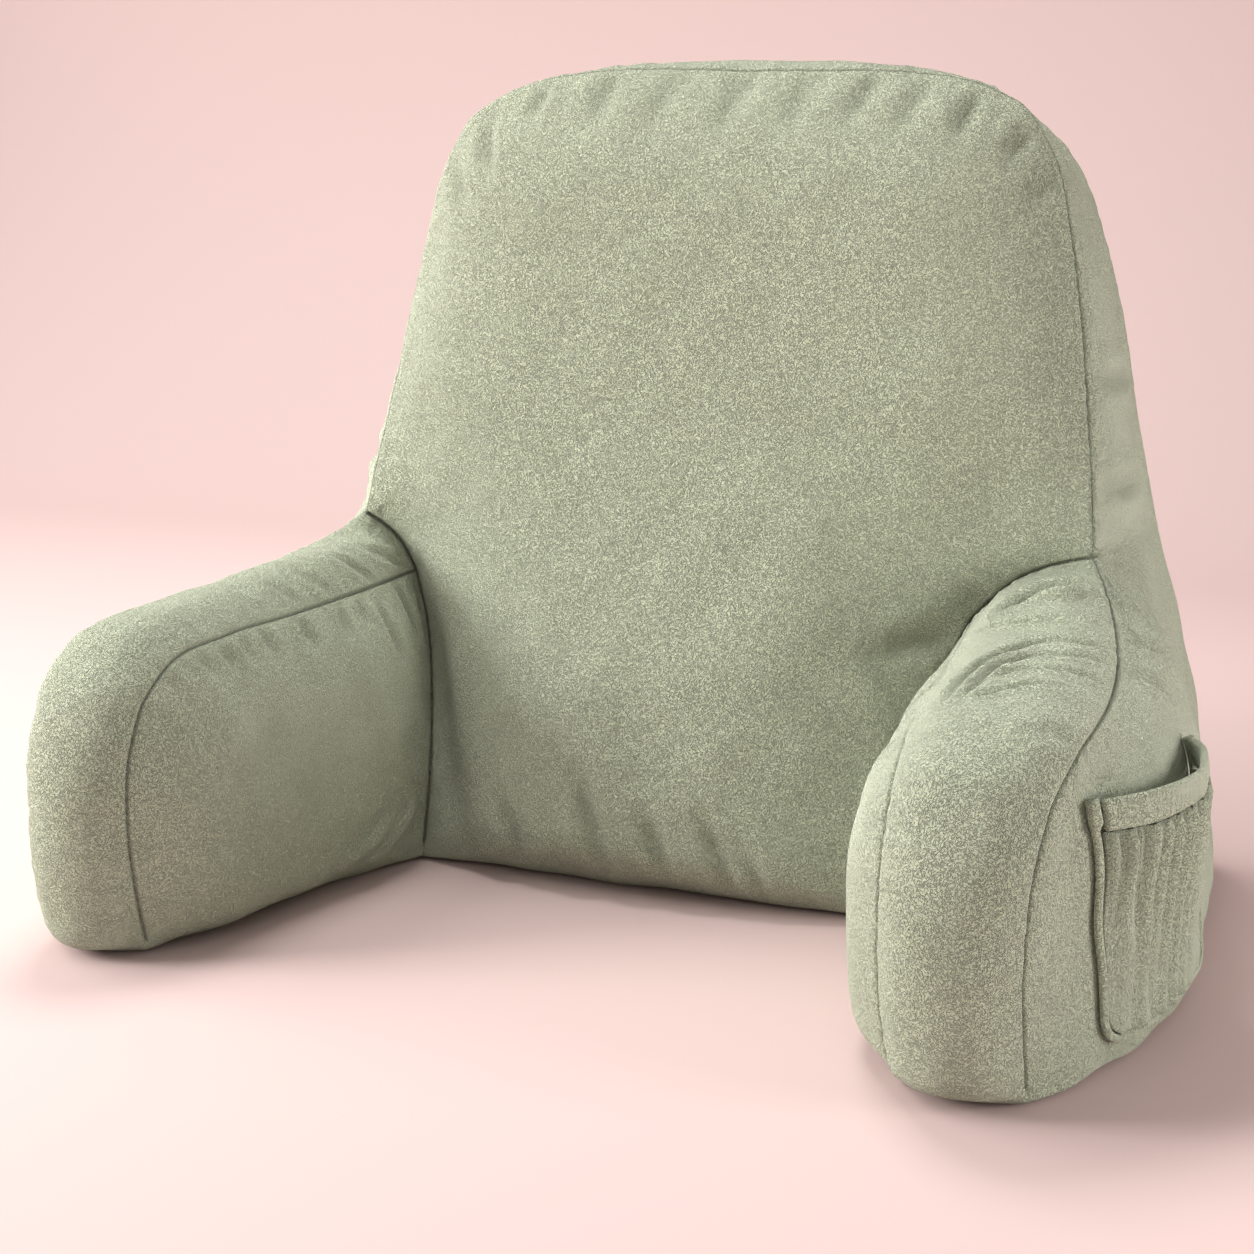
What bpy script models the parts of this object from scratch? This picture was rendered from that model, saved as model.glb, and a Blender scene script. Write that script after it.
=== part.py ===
"""Reading pillow with arms: a filled backrest, two filled arms sewn to it, and a gathered patch pocket
on the outer side of the right arm. Metres, +Z up, the front towards -Y, standing on z = 0."""

import math

import bpy
import numpy as np
from mathutils.bvhtree import BVHTree

# Seam lines of the right half (+X), as points (x, y, z) that a smooth curve runs through.
FLOOR_SEAM = 0.004  # height of the bottom panel's drawn-in edge
FRONT_FLOOR_Y = -0.084  # front panel's bottom edge at the middle
CORNER_A = (0.166, -0.086, FLOOR_SEAM)  # arm, back and floor meet inside
CORNER_K = {"left": (0.216, 0.000, 0.178), "right": (0.179, -0.014, 0.176)}  # arm's inner seam at the back
CORNER_J = (0.250, -0.010, 0.218)  # arm's outer seam meets the back
CORNER_Q = (0.326, -0.046, FLOOR_SEAM)  # arm and back meet at the floor outside
CORNER_I = (0.220, -0.306, FLOOR_SEAM)  # arm's front, inner foot
CORNER_O = (0.287, -0.307, FLOOR_SEAM)  # arm's front, outer foot
CORNER_R = (0.300, 0.120, FLOOR_SEAM)  # rear seam at the floor
FLOOR_TOE = (0.253, -0.317, FLOOR_SEAM)  # arm's front edge at the floor, between its feet

# The right arm is fuller at its root than the left one, so its inner lines lie further in.
SEAM_ARM_BACK = {
    "left": [CORNER_A, (0.172, -0.064, 0.050), (0.184, -0.038, 0.096), (0.199, -0.014, 0.138),
             CORNER_K["left"]],
    "right": [CORNER_A, (0.158, -0.070, 0.050), (0.158, -0.050, 0.096), (0.165, -0.031, 0.138),
              CORNER_K["right"]],
}
SEAM_GUSSET_BACK = {
    "left": [CORNER_K["left"], (0.231, -0.001, 0.202), CORNER_J],
    "right": [CORNER_K["right"], (0.206, -0.007, 0.202), CORNER_J],
}
SEAM_INNER_FRONT = [CORNER_I, (0.217, -0.318, 0.040), (0.216, -0.324, 0.082), (0.216, -0.320, 0.120),
                    (0.216, -0.306, 0.148)]
SEAM_INNER_TOP = {
    "left": [(0.216, -0.306, 0.148), (0.217, -0.278, 0.166), (0.218, -0.225, 0.172), (0.217, -0.150, 0.173),
             (0.216, -0.070, 0.175), CORNER_K["left"]],
    "right": [(0.216, -0.306, 0.148), (0.212, -0.278, 0.159), (0.204, -0.225, 0.163), (0.196, -0.150, 0.163),
              (0.186, -0.075, 0.165), CORNER_K["right"]],
}
SEAM_OUTER_FRONT = [CORNER_O, (0.286, -0.316, 0.040), (0.286, -0.320, 0.082), (0.288, -0.315, 0.120),
                    (0.292, -0.300, 0.148)]
SEAM_OUTER_TOP = [(0.292, -0.300, 0.148), (0.297, -0.272, 0.165), (0.298, -0.230, 0.171),
                  (0.295, -0.180, 0.174), (0.288, -0.128, 0.181), (0.277, -0.080, 0.191),
                  (0.265, -0.042, 0.203), CORNER_J]
SPLIT_OUTSIDE = [CORNER_Q, (0.322, -0.049, 0.060), (0.306, -0.044, 0.120), (0.288, -0.034, 0.172),
                 (0.270, -0.022, 0.202), CORNER_J]
FLOOR_INSIDE = [CORNER_I, (0.204, -0.240, FLOOR_SEAM), (0.192, -0.165, FLOOR_SEAM), CORNER_A]
FLOOR_OUTSIDE = [CORNER_O, (0.303, -0.278, FLOOR_SEAM), (0.317, -0.236, FLOOR_SEAM),
                 (0.329, -0.180, FLOOR_SEAM), (0.333, -0.120, FLOOR_SEAM), CORNER_Q]
FLOOR_SIDE = [CORNER_Q, (0.315, 0.035, FLOOR_SEAM), CORNER_R]
# The back's top left corner is a little fuller than its right one.
SEAM_FRONT_SIDE = {
    "left": [CORNER_J, (0.245, 0.002, 0.258), (0.238, 0.017, 0.310), (0.231, 0.028, 0.360),
             (0.223, 0.036, 0.405), (0.213, 0.042, 0.450), (0.194, 0.045, 0.484)],
    "right": [CORNER_J, (0.245, 0.002, 0.258), (0.237, 0.017, 0.310), (0.229, 0.028, 0.360),
              (0.220, 0.036, 0.405), (0.208, 0.042, 0.450), (0.187, 0.045, 0.483)],
}
SEAM_FRONT_TOP = {
    "left": [(0.194, 0.045, 0.484), (0.162, 0.047, 0.501), (0.110, 0.048, 0.5105),
             (0.055, 0.048, 0.5115), (0.0, 0.048, 0.5085)],
    "right": [(0.187, 0.045, 0.483), (0.154, 0.047, 0.4975), (0.105, 0.048, 0.505),
              (0.055, 0.048, 0.507), (0.0, 0.048, 0.5085)],
}
SEAM_REAR_SIDE = [CORNER_R, (0.292, 0.124, 0.080), (0.277, 0.127, 0.147), (0.258, 0.129, 0.222),
                  (0.241, 0.130, 0.300), (0.229, 0.130, 0.365), (0.216, 0.130, 0.420), (0.197, 0.130, 0.460)]
SEAM_REAR_TOP = [(0.197, 0.130, 0.460), (0.164, 0.130, 0.482), (0.113, 0.130, 0.494),
                 (0.055, 0.130, 0.499), (0.0, 0.130, 0.500)]
REAR_LEVEL_J = 0.222  # height on the rear seam that lies behind corner J

# Steps along the seams and across the panels.
STEPS_HIGH = 11  # up an arm
STEPS_LONG = 24  # along an arm
STEPS_GUSSET = 6  # across an arm's top
STEPS_SIDE = 12  # up the back's side above the arm
STEPS_WIDE = 18  # across the back
STEPS_BOX = 6  # across the back's side and top strip
REAR_GRADING = 1.45  # steps along an arm close up towards the back by this power
RINGS = (0.004, 0.012)  # rows beside a seam, metres from it

# How far each panel swells from its seams, and the distance from a seam where it is full.
CROWNS = {
    "front": (0.034, 0.120),
    "rear": (0.030, 0.120),
    "side": (0.012, 0.044),
    "gusset": (0.016, 0.042),
    "inner": (0.020, 0.070),
}
FLOOR_REACH = 0.020  # the same distance above the floor, where the cloth rounds under
SOFT_REACH = 1.1  # a valley seam's slope runs this much further into the panel
# The swell of an arm's outer side at each height (z), as a share of its crown.
SIDE_FULLNESS = [(0.0, 0.3), (0.045, 0.7), (0.085, 1.3), (0.125, 1.9), (0.165, 1.7), (0.200, 1.2),
                 (0.260, 1.0)]
# The same along the arm (y): it turns the front corner slowly.
SIDE_ALONG = [(-0.330, 0.20), (-0.285, 0.25), (-0.262, 0.45), (-0.240, 0.75), (-0.215, 0.92),
              (-0.180, 1.0)]
CORNER_REACH = 0.090  # round corner J the side strip lies flatter, within this distance
CORNER_LEFT = 0.25  # share of its swell left at the corner
GUSSET_VALLEY = 2.0  # a gusset rises from the back's seam over this many times its own reach
BACK_FROM = 0.020  # behind this y the side's swell is the same at every height
ARM_FROM = -0.060  # in front of this y it follows the table
SHOULDER = 2.6  # higher is a tighter round beside a seam
SEAM_DEPTH = 0.0025  # how far a seam's stitching pulls the cloth in
FAIRING = 60  # rounds of evening out where the back's side runs on into the arm's
EVEN_ROUNDS = 400  # rounds of evening out the back's wide panels
FAIR_STEP = 0.8
RIDGE_HIGH = 0.45  # the ridges beside a fold, as a share of its depth
RIDGE_AT = 1.9  # and their distance from it, in half widths
FOLD_ENDS = 0.04  # share of a fold's length that is cut off at each end of its fade
FOLD_FADE = 0.6  # lower keeps a fold deep further towards its ends
ON_LINE = 0.0002  # a point this near a seam lies on it
FLOOR_ROUND = 0.010  # width of the bottom's rounded rim
RIM_BLUR = 2  # points to each side over which a panel's facing is averaged along its rim
GAP = 0.0003  # between pieces that touch
WALL_GAP = 0.0005  # between an arm and the back

# Folds: a soft trough between low ridges along a line, on the arm of the named side.
# side, points (x, y, z) of the right half, half width, depth
ARM_FOLDS = [
    ("right", [(0.196, -0.020, 0.186), (0.225, -0.040, 0.208), (0.262, -0.046, 0.212), (0.284, -0.040, 0.192)],
     0.0095, 0.0040),
    ("right", [(0.204, -0.070, 0.180), (0.236, -0.096, 0.202), (0.282, -0.100, 0.192)], 0.0085, 0.0026),
    ("right", [(0.212, -0.110, 0.182), (0.246, -0.138, 0.200), (0.286, -0.130, 0.188)], 0.0085, 0.0022),
    ("left", [(0.228, -0.051, 0.200), (0.220, -0.033, 0.191), (0.217, -0.014, 0.182)], 0.0085, 0.0022),
    ("left", [(0.213, -0.030, 0.174), (0.202, -0.041, 0.162), (0.195, -0.037, 0.143)], 0.0085, 0.0030),
    ("left", [(0.208, -0.066, 0.168), (0.193, -0.079, 0.153), (0.183, -0.082, 0.135)], 0.0085, 0.0024),
    ("left", [(0.210, -0.110, 0.169), (0.198, -0.117, 0.157), (0.190, -0.122, 0.145)], 0.0085, 0.0020),
]
# Tucks where the front panel is eased into the seam over its top edge.
# x on the seam, sideways run for each metre down, length, half width, depth
TOP_TUCKS = [
    (-0.196, 0.36, 0.060, 0.0075, 0.0036),
    (-0.160, 0.27, 0.062, 0.0075, 0.0040),
    (-0.112, -0.06, 0.045, 0.0080, 0.0026),
    (-0.050, -0.21, 0.050, 0.0085, 0.0018),
    (0.020, -0.41, 0.055, 0.0090, 0.0018),
    (0.082, -0.44, 0.055, 0.0085, 0.0022),
    (0.128, -0.42, 0.050, 0.0080, 0.0026),
    (0.170, -0.34, 0.045, 0.0075, 0.0030),
    (0.202, -0.30, 0.040, 0.0075, 0.0030),
]
TUCKS_ABOVE = 0.420  # the tucks start from the seam above this height

# Patch pocket on the right arm's outer side, by y and z on the arm's surface.
POCKET_FRONT_Y = -0.274  # front edge at the mouth
POCKET_LEAN = 0.017  # the front edge runs back this far towards the bottom
POCKET_REAR_Y = -0.118
POCKET_FLOOR_Z = 0.018
POCKET_MOUTH_Z = 0.144
POCKET_DROP = 0.004  # the mouth lies this much lower at its rear end
STRAIGHT_Z = 0.112  # above this height the pocket stands straight up instead of following the arm
STRAIGHT_BLEND = 0.010
POCKET_CORNER = 0.016  # radius of its two lower corners
POCKET_SWELL = 0.0115  # how far the mouth stands off the arm at its middle
SWELL_POWER = 1.3  # how the swell grows from the bottom to the mouth
BELLY_POWER = 0.6  # how it falls off towards the sewn sides
CLOTH_THICK = 0.0020
STAND_OFF = 0.0015  # the pocket's cloth from the arm at its sewn edges
BAND_HIGH = 0.0155
BAND_THICK = 0.0044
BAND_LEVEL = 0.95  # share of the pocket's height whose swell the band follows
BAND_FLAT = 0.7  # lower is a flatter front on the band's section
BAND_SQUARE = 0.5  # lower is squarer along its top and bottom
BINDING_OFF = 0.0009  # the binding from the arm
BINDING_HALF_WIDTH = 0.0023
BINDING_HALF_HIGH = 0.0020
TAB_HALF_WIDTH = 0.0036  # the binding's front end, turned over the band's end
TAB_BLEND = 0.004  # height over which the binding widens to it
GATHER_COUNT = 12
GATHER_DEPTH = 0.0028
GATHER_LAP = 0.35  # how far each gather leans over, as a share of its pitch
GATHER_LOW_SHARE = 0.30  # of the depth is left at the pocket's bottom
GATHER_UNEVEN = 0.25  # how much the gathers differ in depth, as a share
GATHER_FADE = 1.5  # how fast they deepen towards the mouth
GATHER_ENDS = 12  # they reach full depth this fraction of the width from each side
SURFACE_SPAN = 0.008  # the arm's slope under the pocket is measured over this distance

STEPS_POCKET_WIDE = 60
STEPS_POCKET_HIGH = 9
STEPS_BAND = 28
STEPS_CORNER = 5
STEPS_BINDING = 10  # along each straight length
BAND_POINTS = 10  # round the band's section
BINDING_POINTS = 8

SAGE = (0.365, 0.400, 0.300)
SAGE_DARK = (0.300, 0.335, 0.245)


def smooth_curve(points, dense=16):
    """A dense polyline on the cubic curve through the points."""
    p = np.array(points, float)
    if len(p) == 2:
        return p
    t = np.concatenate([[0.0], np.cumsum(np.linalg.norm(np.diff(p, axis=0), axis=1))])
    dt = np.diff(t)[:, None]
    slope = np.diff(p, axis=0) / dt
    tangent = np.empty_like(p)
    tangent[1:-1] = (slope[1:] * dt[:-1] + slope[:-1] * dt[1:]) / (dt[1:] + dt[:-1])
    tangent[0] = 1.5 * slope[0] - 0.5 * tangent[1]
    tangent[-1] = 1.5 * slope[-1] - 0.5 * tangent[-2]
    line = [p[:1]]
    s = np.linspace(0, 1, dense + 1)[1:, None]
    for i in range(len(p) - 1):
        h = dt[i]
        line.append(
            (2 * s**3 - 3 * s**2 + 1) * p[i] + (s**3 - 2 * s**2 + s) * h * tangent[i]
            + (3 * s**2 - 2 * s**3) * p[i + 1] + (s**3 - s**2) * h * tangent[i + 1]
        )
    return np.concatenate(line)


def along(line, shares):
    """Points of a polyline at shares of its length."""
    length = np.concatenate([[0.0], np.cumsum(np.linalg.norm(np.diff(line, axis=0), axis=1))])
    at = np.asarray(shares) * length[-1]
    return np.stack([np.interp(at, length, line[:, k]) for k in range(3)], axis=1)


def stepped(points, steps, power=1.0):
    """The smooth curve through the points, at steps + 1 places that close up towards its end."""
    return along(smooth_curve(points), 1 - (1 - np.linspace(0, 1, steps + 1)) ** power)


def coons(bottom, right, top, left):
    """The grid of points spanned by four sides: bottom and top run from left to right, the others upwards."""
    u = np.linspace(0, 1, len(bottom))[None, :, None]
    v = np.linspace(0, 1, len(left))[:, None, None]
    across = (1 - u) * left[:, None] + u * right[:, None]
    upwards = (1 - v) * bottom[None] + v * top[None]
    corners = (
        (1 - u) * (1 - v) * bottom[0] + u * (1 - v) * bottom[-1] + (1 - u) * v * top[0] + u * v * top[-1]
    )
    return across + upwards - corners


def unit(vectors):
    return vectors / np.maximum(np.linalg.norm(vectors, axis=-1, keepdims=True), 1e-12)


def around(grid):
    """The grid's four sides in turn, anticlockwise from its first corner."""
    return [grid[0], grid[:, -1], grid[-1, ::-1], grid[::-1, 0]]


def inset(grid, step):
    """The grid's four sides moved into its surface by step, each keeping its own spacing."""
    normal = unit(np.cross(np.gradient(grid, axis=1), np.gradient(grid, axis=0)))
    sides, facings = around(grid), around(normal)
    ways = [unit(np.gradient(side, axis=0)) for side in sides]
    moved = []
    for k in range(4):
        side, way = sides[k], ways[k]
        facing = blurred(facings[k])
        turn_in = math.acos(np.clip(ways[k - 1][-1] @ way[0], -1, 1))
        turn_out = math.acos(np.clip(way[-1] @ ways[(k + 1) % 4][0], -1, 1))
        length = np.concatenate([[0.0], np.cumsum(np.linalg.norm(np.diff(side, axis=0), axis=1))])
        start = step * math.tan(turn_in / 2)
        stop = length[-1] - step * math.tan(turn_out / 2)
        at = start + length / length[-1] * (stop - start)
        inner = unit(np.cross(facing, way))
        place = [np.interp(at, length, (side + inner * step)[:, axis]) for axis in range(3)]
        moved.append(np.stack(place, axis=1))
    for k in range(4):
        corner = (moved[k - 1][-1] + moved[k][0]) / 2
        moved[k - 1][-1] = moved[k][0] = corner
    return moved


def blurred(facing):
    """Directions along a side, evened out with their neighbours."""
    padded = np.concatenate([facing[:1]] * RIM_BLUR + [facing] + [facing[-1:]] * RIM_BLUR)
    count = len(facing)
    return unit(sum(padded[k : k + count] for k in range(2 * RIM_BLUR + 1)))


def closed_loop(sides):
    return np.concatenate([side[:-1] for side in sides])


def relaxed(grid, rounds=40):
    """The grid with its inner points evened out."""
    grid = grid.copy()
    for _ in range(rounds):
        grid[1:-1, 1:-1] = (grid[:-2, 1:-1] + grid[2:, 1:-1] + grid[1:-1, :-2] + grid[1:-1, 2:]) / 4
    return grid


class Skin:
    """Panels as quads over shared points, each with the name of its group."""

    def __init__(self):
        self.points = []
        self.quads = []
        self.groups = []

    def add(self, points, quads, group):
        first = sum(len(p) for p in self.points)
        self.points.append(points)
        self.quads.append(np.array(quads) + first)
        self.groups += [group] * len(quads)

    def panel(self, group, bottom, right, top, left, flip=False, rings=RINGS, even=0):
        """A four-sided panel with rows beside its rim, facing to the side where its sides run anticlockwise."""
        grid = coons(bottom, right, top, left)
        rows, columns = grid.shape[:2]
        if even:
            grid = relaxed(grid, even)
        insets = [inset(grid, step) for step in rings]
        loops = [closed_loop(around(grid))] + [closed_loop(sides) for sides in insets]
        count = len(loops[0])
        quads = []
        for k in range(len(rings)):
            for i in range(count):
                j = (i + 1) % count
                quads.append((k * count + i, k * count + j, (k + 1) * count + j, (k + 1) * count + i))
        low, far, high, near = insets[-1]
        grid = relaxed(coons(low, far, high[::-1], near[::-1]), even)
        marks = np.cumsum([columns - 1, rows - 1, columns - 1])
        points = np.concatenate(loops + [grid[1:-1, 1:-1].reshape(-1, 3)])
        number = np.zeros((rows, columns), int)
        base = len(rings) * count
        number[0, :] = base + np.arange(columns)
        number[:, -1] = base + marks[0] + np.arange(rows)
        number[-1, ::-1] = base + marks[1] + np.arange(columns)
        number[1:, 0] = base + marks[2] + np.arange(rows - 1)[::-1]
        number[1:-1, 1:-1] = (base + count + np.arange((rows - 2) * (columns - 2))).reshape(rows - 2, -1)
        for j in range(rows - 1):
            for i in range(columns - 1):
                quads.append((number[j, i], number[j, i + 1], number[j + 1, i + 1], number[j + 1, i]))
        if flip:
            quads = [q[::-1] for q in quads]
        self.add(points, quads, group)

    def merged(self):
        """(points, quads, groups) with coincident points made one."""
        points = np.concatenate(self.points)
        quads = np.concatenate(self.quads)
        _, first, index = np.unique(np.round(points, 6), axis=0, return_index=True, return_inverse=True)
        return points[first], index.reshape(-1)[quads], np.array(self.groups)


def mirrored(points):
    return np.array(points, float) * (-1, 1, 1)


def turned(points):
    return np.array(points)[::-1]


def seam_lines(side):
    """One side's seams and edges by name, at the steps that neighbouring panels share."""
    rear = smooth_curve(SEAM_REAR_SIDE)
    length = np.concatenate([[0.0], np.cumsum(np.linalg.norm(np.diff(rear, axis=0), axis=1))])
    level = np.interp(REAR_LEVEL_J, rear[:, 2], length) / length[-1]
    lines = {
        "arm_back": stepped(SEAM_ARM_BACK[side], STEPS_HIGH),
        "gusset_back": stepped(SEAM_GUSSET_BACK[side], STEPS_GUSSET),
        "inner_front": stepped(SEAM_INNER_FRONT, STEPS_HIGH),
        "inner_top": stepped(SEAM_INNER_TOP[side], STEPS_LONG, REAR_GRADING),
        "outer_front": stepped(SEAM_OUTER_FRONT, STEPS_HIGH),
        "outer_top": stepped(SEAM_OUTER_TOP, STEPS_LONG, REAR_GRADING),
        "split": stepped(SPLIT_OUTSIDE, STEPS_HIGH),
        "floor_inside": stepped(FLOOR_INSIDE, STEPS_LONG, REAR_GRADING),
        "floor_outside": stepped(FLOOR_OUTSIDE, STEPS_LONG, REAR_GRADING),
        "floor_front": stepped([CORNER_I, FLOOR_TOE, CORNER_O], STEPS_GUSSET),
        "floor_split": floor_split(),
        "floor_side": stepped(FLOOR_SIDE, STEPS_BOX),
        "front_side": stepped(SEAM_FRONT_SIDE[side], STEPS_SIDE),
        "front_top": stepped(SEAM_FRONT_TOP[side], STEPS_WIDE // 2),
        "rear_low": along(rear, np.linspace(0, level, STEPS_HIGH + 1)),
        "rear_side": along(rear, np.linspace(level, 1, STEPS_SIDE + 1)),
        "rear_top": stepped(SEAM_REAR_TOP, STEPS_WIDE // 2),
    }
    if side == "left":
        lines = {name: mirrored(line) for name, line in lines.items()}
    return lines


def joined(*lines):
    """Lines that run on into each other, as one."""
    return np.concatenate([lines[0]] + [line[1:] for line in lines[1:]])


def whole(s, *names):
    """The right side's named lines up to the middle, and the left side's after them."""
    right, left = (joined(*(s[side][name] for name in names)) for side in ("right", "left"))
    return joined(right, turned(left))


def front_floor():
    """The front panel's bottom edge, from left to right."""
    return stepped([mirrored(CORNER_A), (0.0, FRONT_FLOOR_Y, FLOOR_SEAM), CORNER_A], STEPS_WIDE)


def rear_floor():
    """The rear panel's bottom edge, from left to right."""
    return stepped([mirrored(CORNER_R), CORNER_R], STEPS_WIDE + 2 * STEPS_GUSSET)


def floor_split():
    """The line on the floor where an arm meets the back: down to the floor between its two ends."""
    line = stepped([CORNER_A, CORNER_Q], STEPS_GUSSET)
    ends = np.minimum(np.linalg.norm(line - line[0], axis=1), np.linalg.norm(line - line[-1], axis=1))
    line[:, 2] = FLOOR_SEAM * (1 - swell(ends / FLOOR_ROUND))
    return line


def swell(share):
    """0 at a seam and 1 from share 1 on, with a round shoulder beside the seam."""
    return 1 - (1 - np.clip(share, 0, 1)) ** SHOULDER


def soft_swell(share):
    """0 at a seam and 1 from share 1 on, with an even slope that leaves room in a valley."""
    return np.sin(np.clip(share, 0, 1) * math.pi / 2)


def distance(points, line):
    """How far each point is from a polyline."""
    best = np.full(len(points), np.inf)
    for start, end in zip(line[:-1], line[1:]):
        way = end - start
        share = np.clip((points - start) @ way / max(way @ way, 1e-12), 0, 1)
        best = np.minimum(best, np.linalg.norm(points - start - share[:, None] * way, axis=1))
    return best


def normals(points, quads):
    """Unit normals at the points, weighted by the area of the faces round them."""
    a, b, c, d = (points[quads[:, k]] for k in range(4))
    face = np.cross(c - a, d - b)
    total = np.zeros_like(points)
    for k in range(4):
        np.add.at(total, quads[:, k], face)
    return unit(total)


def faired(points, quads, free, rounds):
    """The points with the free ones moved along their normals until the surface runs evenly through them."""
    edges = np.concatenate([quads[:, [k, (k + 1) % 4]] for k in range(4)])
    edges = np.unique(np.sort(edges, axis=1), axis=0)
    for _ in range(rounds):
        way = points[edges[:, 1]] - points[edges[:, 0]]
        weight = 1 / np.maximum(np.linalg.norm(way, axis=1, keepdims=True), 1e-6)
        pull = np.zeros_like(points)
        total = np.zeros((len(points), 1))
        np.add.at(pull, edges[:, 0], way * weight)
        np.add.at(pull, edges[:, 1], -way * weight)
        np.add.at(total, edges[:, 0], weight)
        np.add.at(total, edges[:, 1], weight)
        normal = normals(points, quads)
        shift = np.sum(pull / total * normal, axis=1, keepdims=True)
        points = points + np.where(free[:, None], FAIR_STEP * shift * normal, 0)
    return points


def arm_panels(skin, s, side):
    """One arm's panels: inner, outer, the gusset round its top and front, and its bottom."""
    flip = side == "left"
    line = s[side]
    node = "arm_" + side
    skin.panel(node + ":inner", line["floor_inside"], line["arm_back"], line["inner_top"], line["inner_front"],
               not flip)
    skin.panel(node + ":side", line["floor_outside"], line["split"], line["outer_top"], line["outer_front"], flip)
    inner = joined(line["inner_front"], line["inner_top"])
    outer = joined(line["outer_front"], line["outer_top"])
    skin.panel(node + ":gusset", line["floor_front"], outer, line["gusset_back"], inner, flip)
    skin.panel(node + ":floor", line["floor_front"], line["floor_outside"], line["floor_split"],
               line["floor_inside"], not flip)


def back_panels(skin, s):
    """The backrest's panels: front, rear, the strip round its sides and top, and its bottom."""
    right, left = (joined(s[k]["arm_back"], s[k]["gusset_back"], s[k]["front_side"]) for k in ("right", "left"))
    skin.panel("backrest:front", front_floor(), right, turned(whole(s, "front_top")), left, even=EVEN_ROUNDS)

    rear = whole(s, "rear_low", "rear_side", "rear_top")
    up = STEPS_HIGH + STEPS_SIDE - STEPS_GUSSET
    skin.panel("backrest:rear", rear_floor(), rear[: up + 1], turned(rear[up : len(rear) - up]),
               turned(rear[len(rear) - up - 1 :]), flip=True, even=EVEN_ROUNDS)

    level = stepped([CORNER_J, tuple(s["right"]["rear_low"][-1])], STEPS_BOX)
    for side, across in (("right", level), ("left", mirrored(level))):
        line = s[side]
        skin.panel("backrest:side", line["floor_side"], line["rear_low"], across, line["split"], side == "left")
    skin.panel("backrest:side", level, whole(s, "rear_side", "rear_top"), mirrored(level),
               whole(s, "front_side", "front_top"))

    floor_edge = joined(turned(s["left"]["floor_split"]), front_floor(), s["right"]["floor_split"])
    skin.panel("backrest:floor", floor_edge, s["right"]["floor_side"], rear_floor(), s["left"]["floor_side"],
               flip=True)


def pair(s, valley, *names):
    """A seam on each side, as (line, whether it is a valley)."""
    return [(joined(*(s[side][name] for name in names)), valley) for side in ("right", "left")]


def group_seams(s):
    """For each group of panels, its seams as (line, whether it is a valley)."""
    over = (whole(s, "front_side", "front_top"), False)
    rear = (whole(s, "rear_low", "rear_side", "rear_top"), False)
    inner = pair(s, False, "inner_front", "inner_top")
    outer = pair(s, False, "outer_front", "outer_top")
    outside = pair(s, False, "floor_outside", "floor_side")
    toes = pair(s, False, "floor_front")
    inside = pair(s, False, "floor_inside")
    return {
        "front": pair(s, True, "arm_back", "gusset_back") + [over, (front_floor(), False)],
        "rear": [rear, (rear_floor(), False)],
        "side": outer + outside + [over, rear],
        "gusset": inner + outer + pair(s, True, "gusset_back") + toes,
        "inner": inner + pair(s, True, "arm_back") + inside,
        "floor": toes + outside + inside + [(front_floor(), False), (rear_floor(), False)],
    }


def crown(points, quads, groups, seams):
    """How far each point stands out from its panel's base, by its distance from each of the panel's seams."""
    out = np.zeros(len(points))
    for group, (height, reach) in CROWNS.items():
        member = np.unique(quads[np.char.endswith(groups, ":" + group)])
        mine = points[member]
        share = np.ones(len(member))
        for line, valley in seams[group]:
            far = distance(mine, line)
            if valley:
                share *= soft_swell(far / (reach * (GUSSET_VALLEY if group == "gusset" else SOFT_REACH)))
            else:
                share *= swell(far / (FLOOR_REACH if line[:, 2].max() <= FLOOR_SEAM else reach))
        if group == "side":
            heights, fullness = zip(*SIDE_FULLNESS)
            places, growth = zip(*SIDE_ALONG)
            ahead = np.clip((mine[:, 1] - BACK_FROM) / (ARM_FROM - BACK_FROM), 0, 1)
            share *= 1 + (np.interp(mine[:, 2], heights, fullness) - 1) * ahead
            share *= np.interp(mine[:, 1], places, growth)
            corner = np.linalg.norm(np.abs(mine) * (1, 0, 1) + mine * (0, 1, 0) - CORNER_J, axis=1)
            share *= CORNER_LEFT + (1 - CORNER_LEFT) * soft_swell(corner / CORNER_REACH)
        out[member] = np.maximum(out[member], height * share)
    return out


def floor_points(points, quads, groups, seams):
    """Rounds the bottom's rim and lays the rest of it on z = 0."""
    member = np.unique(quads[np.char.endswith(groups, ":floor")])
    far = np.full(len(member), np.inf)
    for line, _ in seams["floor"]:
        far = np.minimum(far, distance(points[member], line))
    points[member, 2] = FLOOR_SEAM * (1 - swell(far / FLOOR_ROUND))


def trough(points, line, half_width, depth):
    """A soft trough along a line, between two low ridges, fading out towards both ends of the line."""
    best = np.full(len(points), np.inf)
    run = np.zeros(len(points))
    length = np.concatenate([[0.0], np.cumsum(np.linalg.norm(np.diff(line, axis=0), axis=1))])
    for i, (start, end) in enumerate(zip(line[:-1], line[1:])):
        way = end - start
        share = np.clip((points - start) @ way / max(way @ way, 1e-12), 0, 1)
        far = np.linalg.norm(points - start - share[:, None] * way, axis=1)
        nearer = far < best
        best = np.where(nearer, far, best)
        run = np.where(nearer, (length[i] + share * (length[i + 1] - length[i])) / length[-1], run)
    ends = np.sin(np.clip(run, FOLD_ENDS, 1 - FOLD_ENDS) * math.pi) ** FOLD_FADE
    across = best / half_width
    return ends * depth * (RIDGE_HIGH * np.exp(-((across - RIDGE_AT) ** 2)) - np.exp(-(across**2)))


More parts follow.
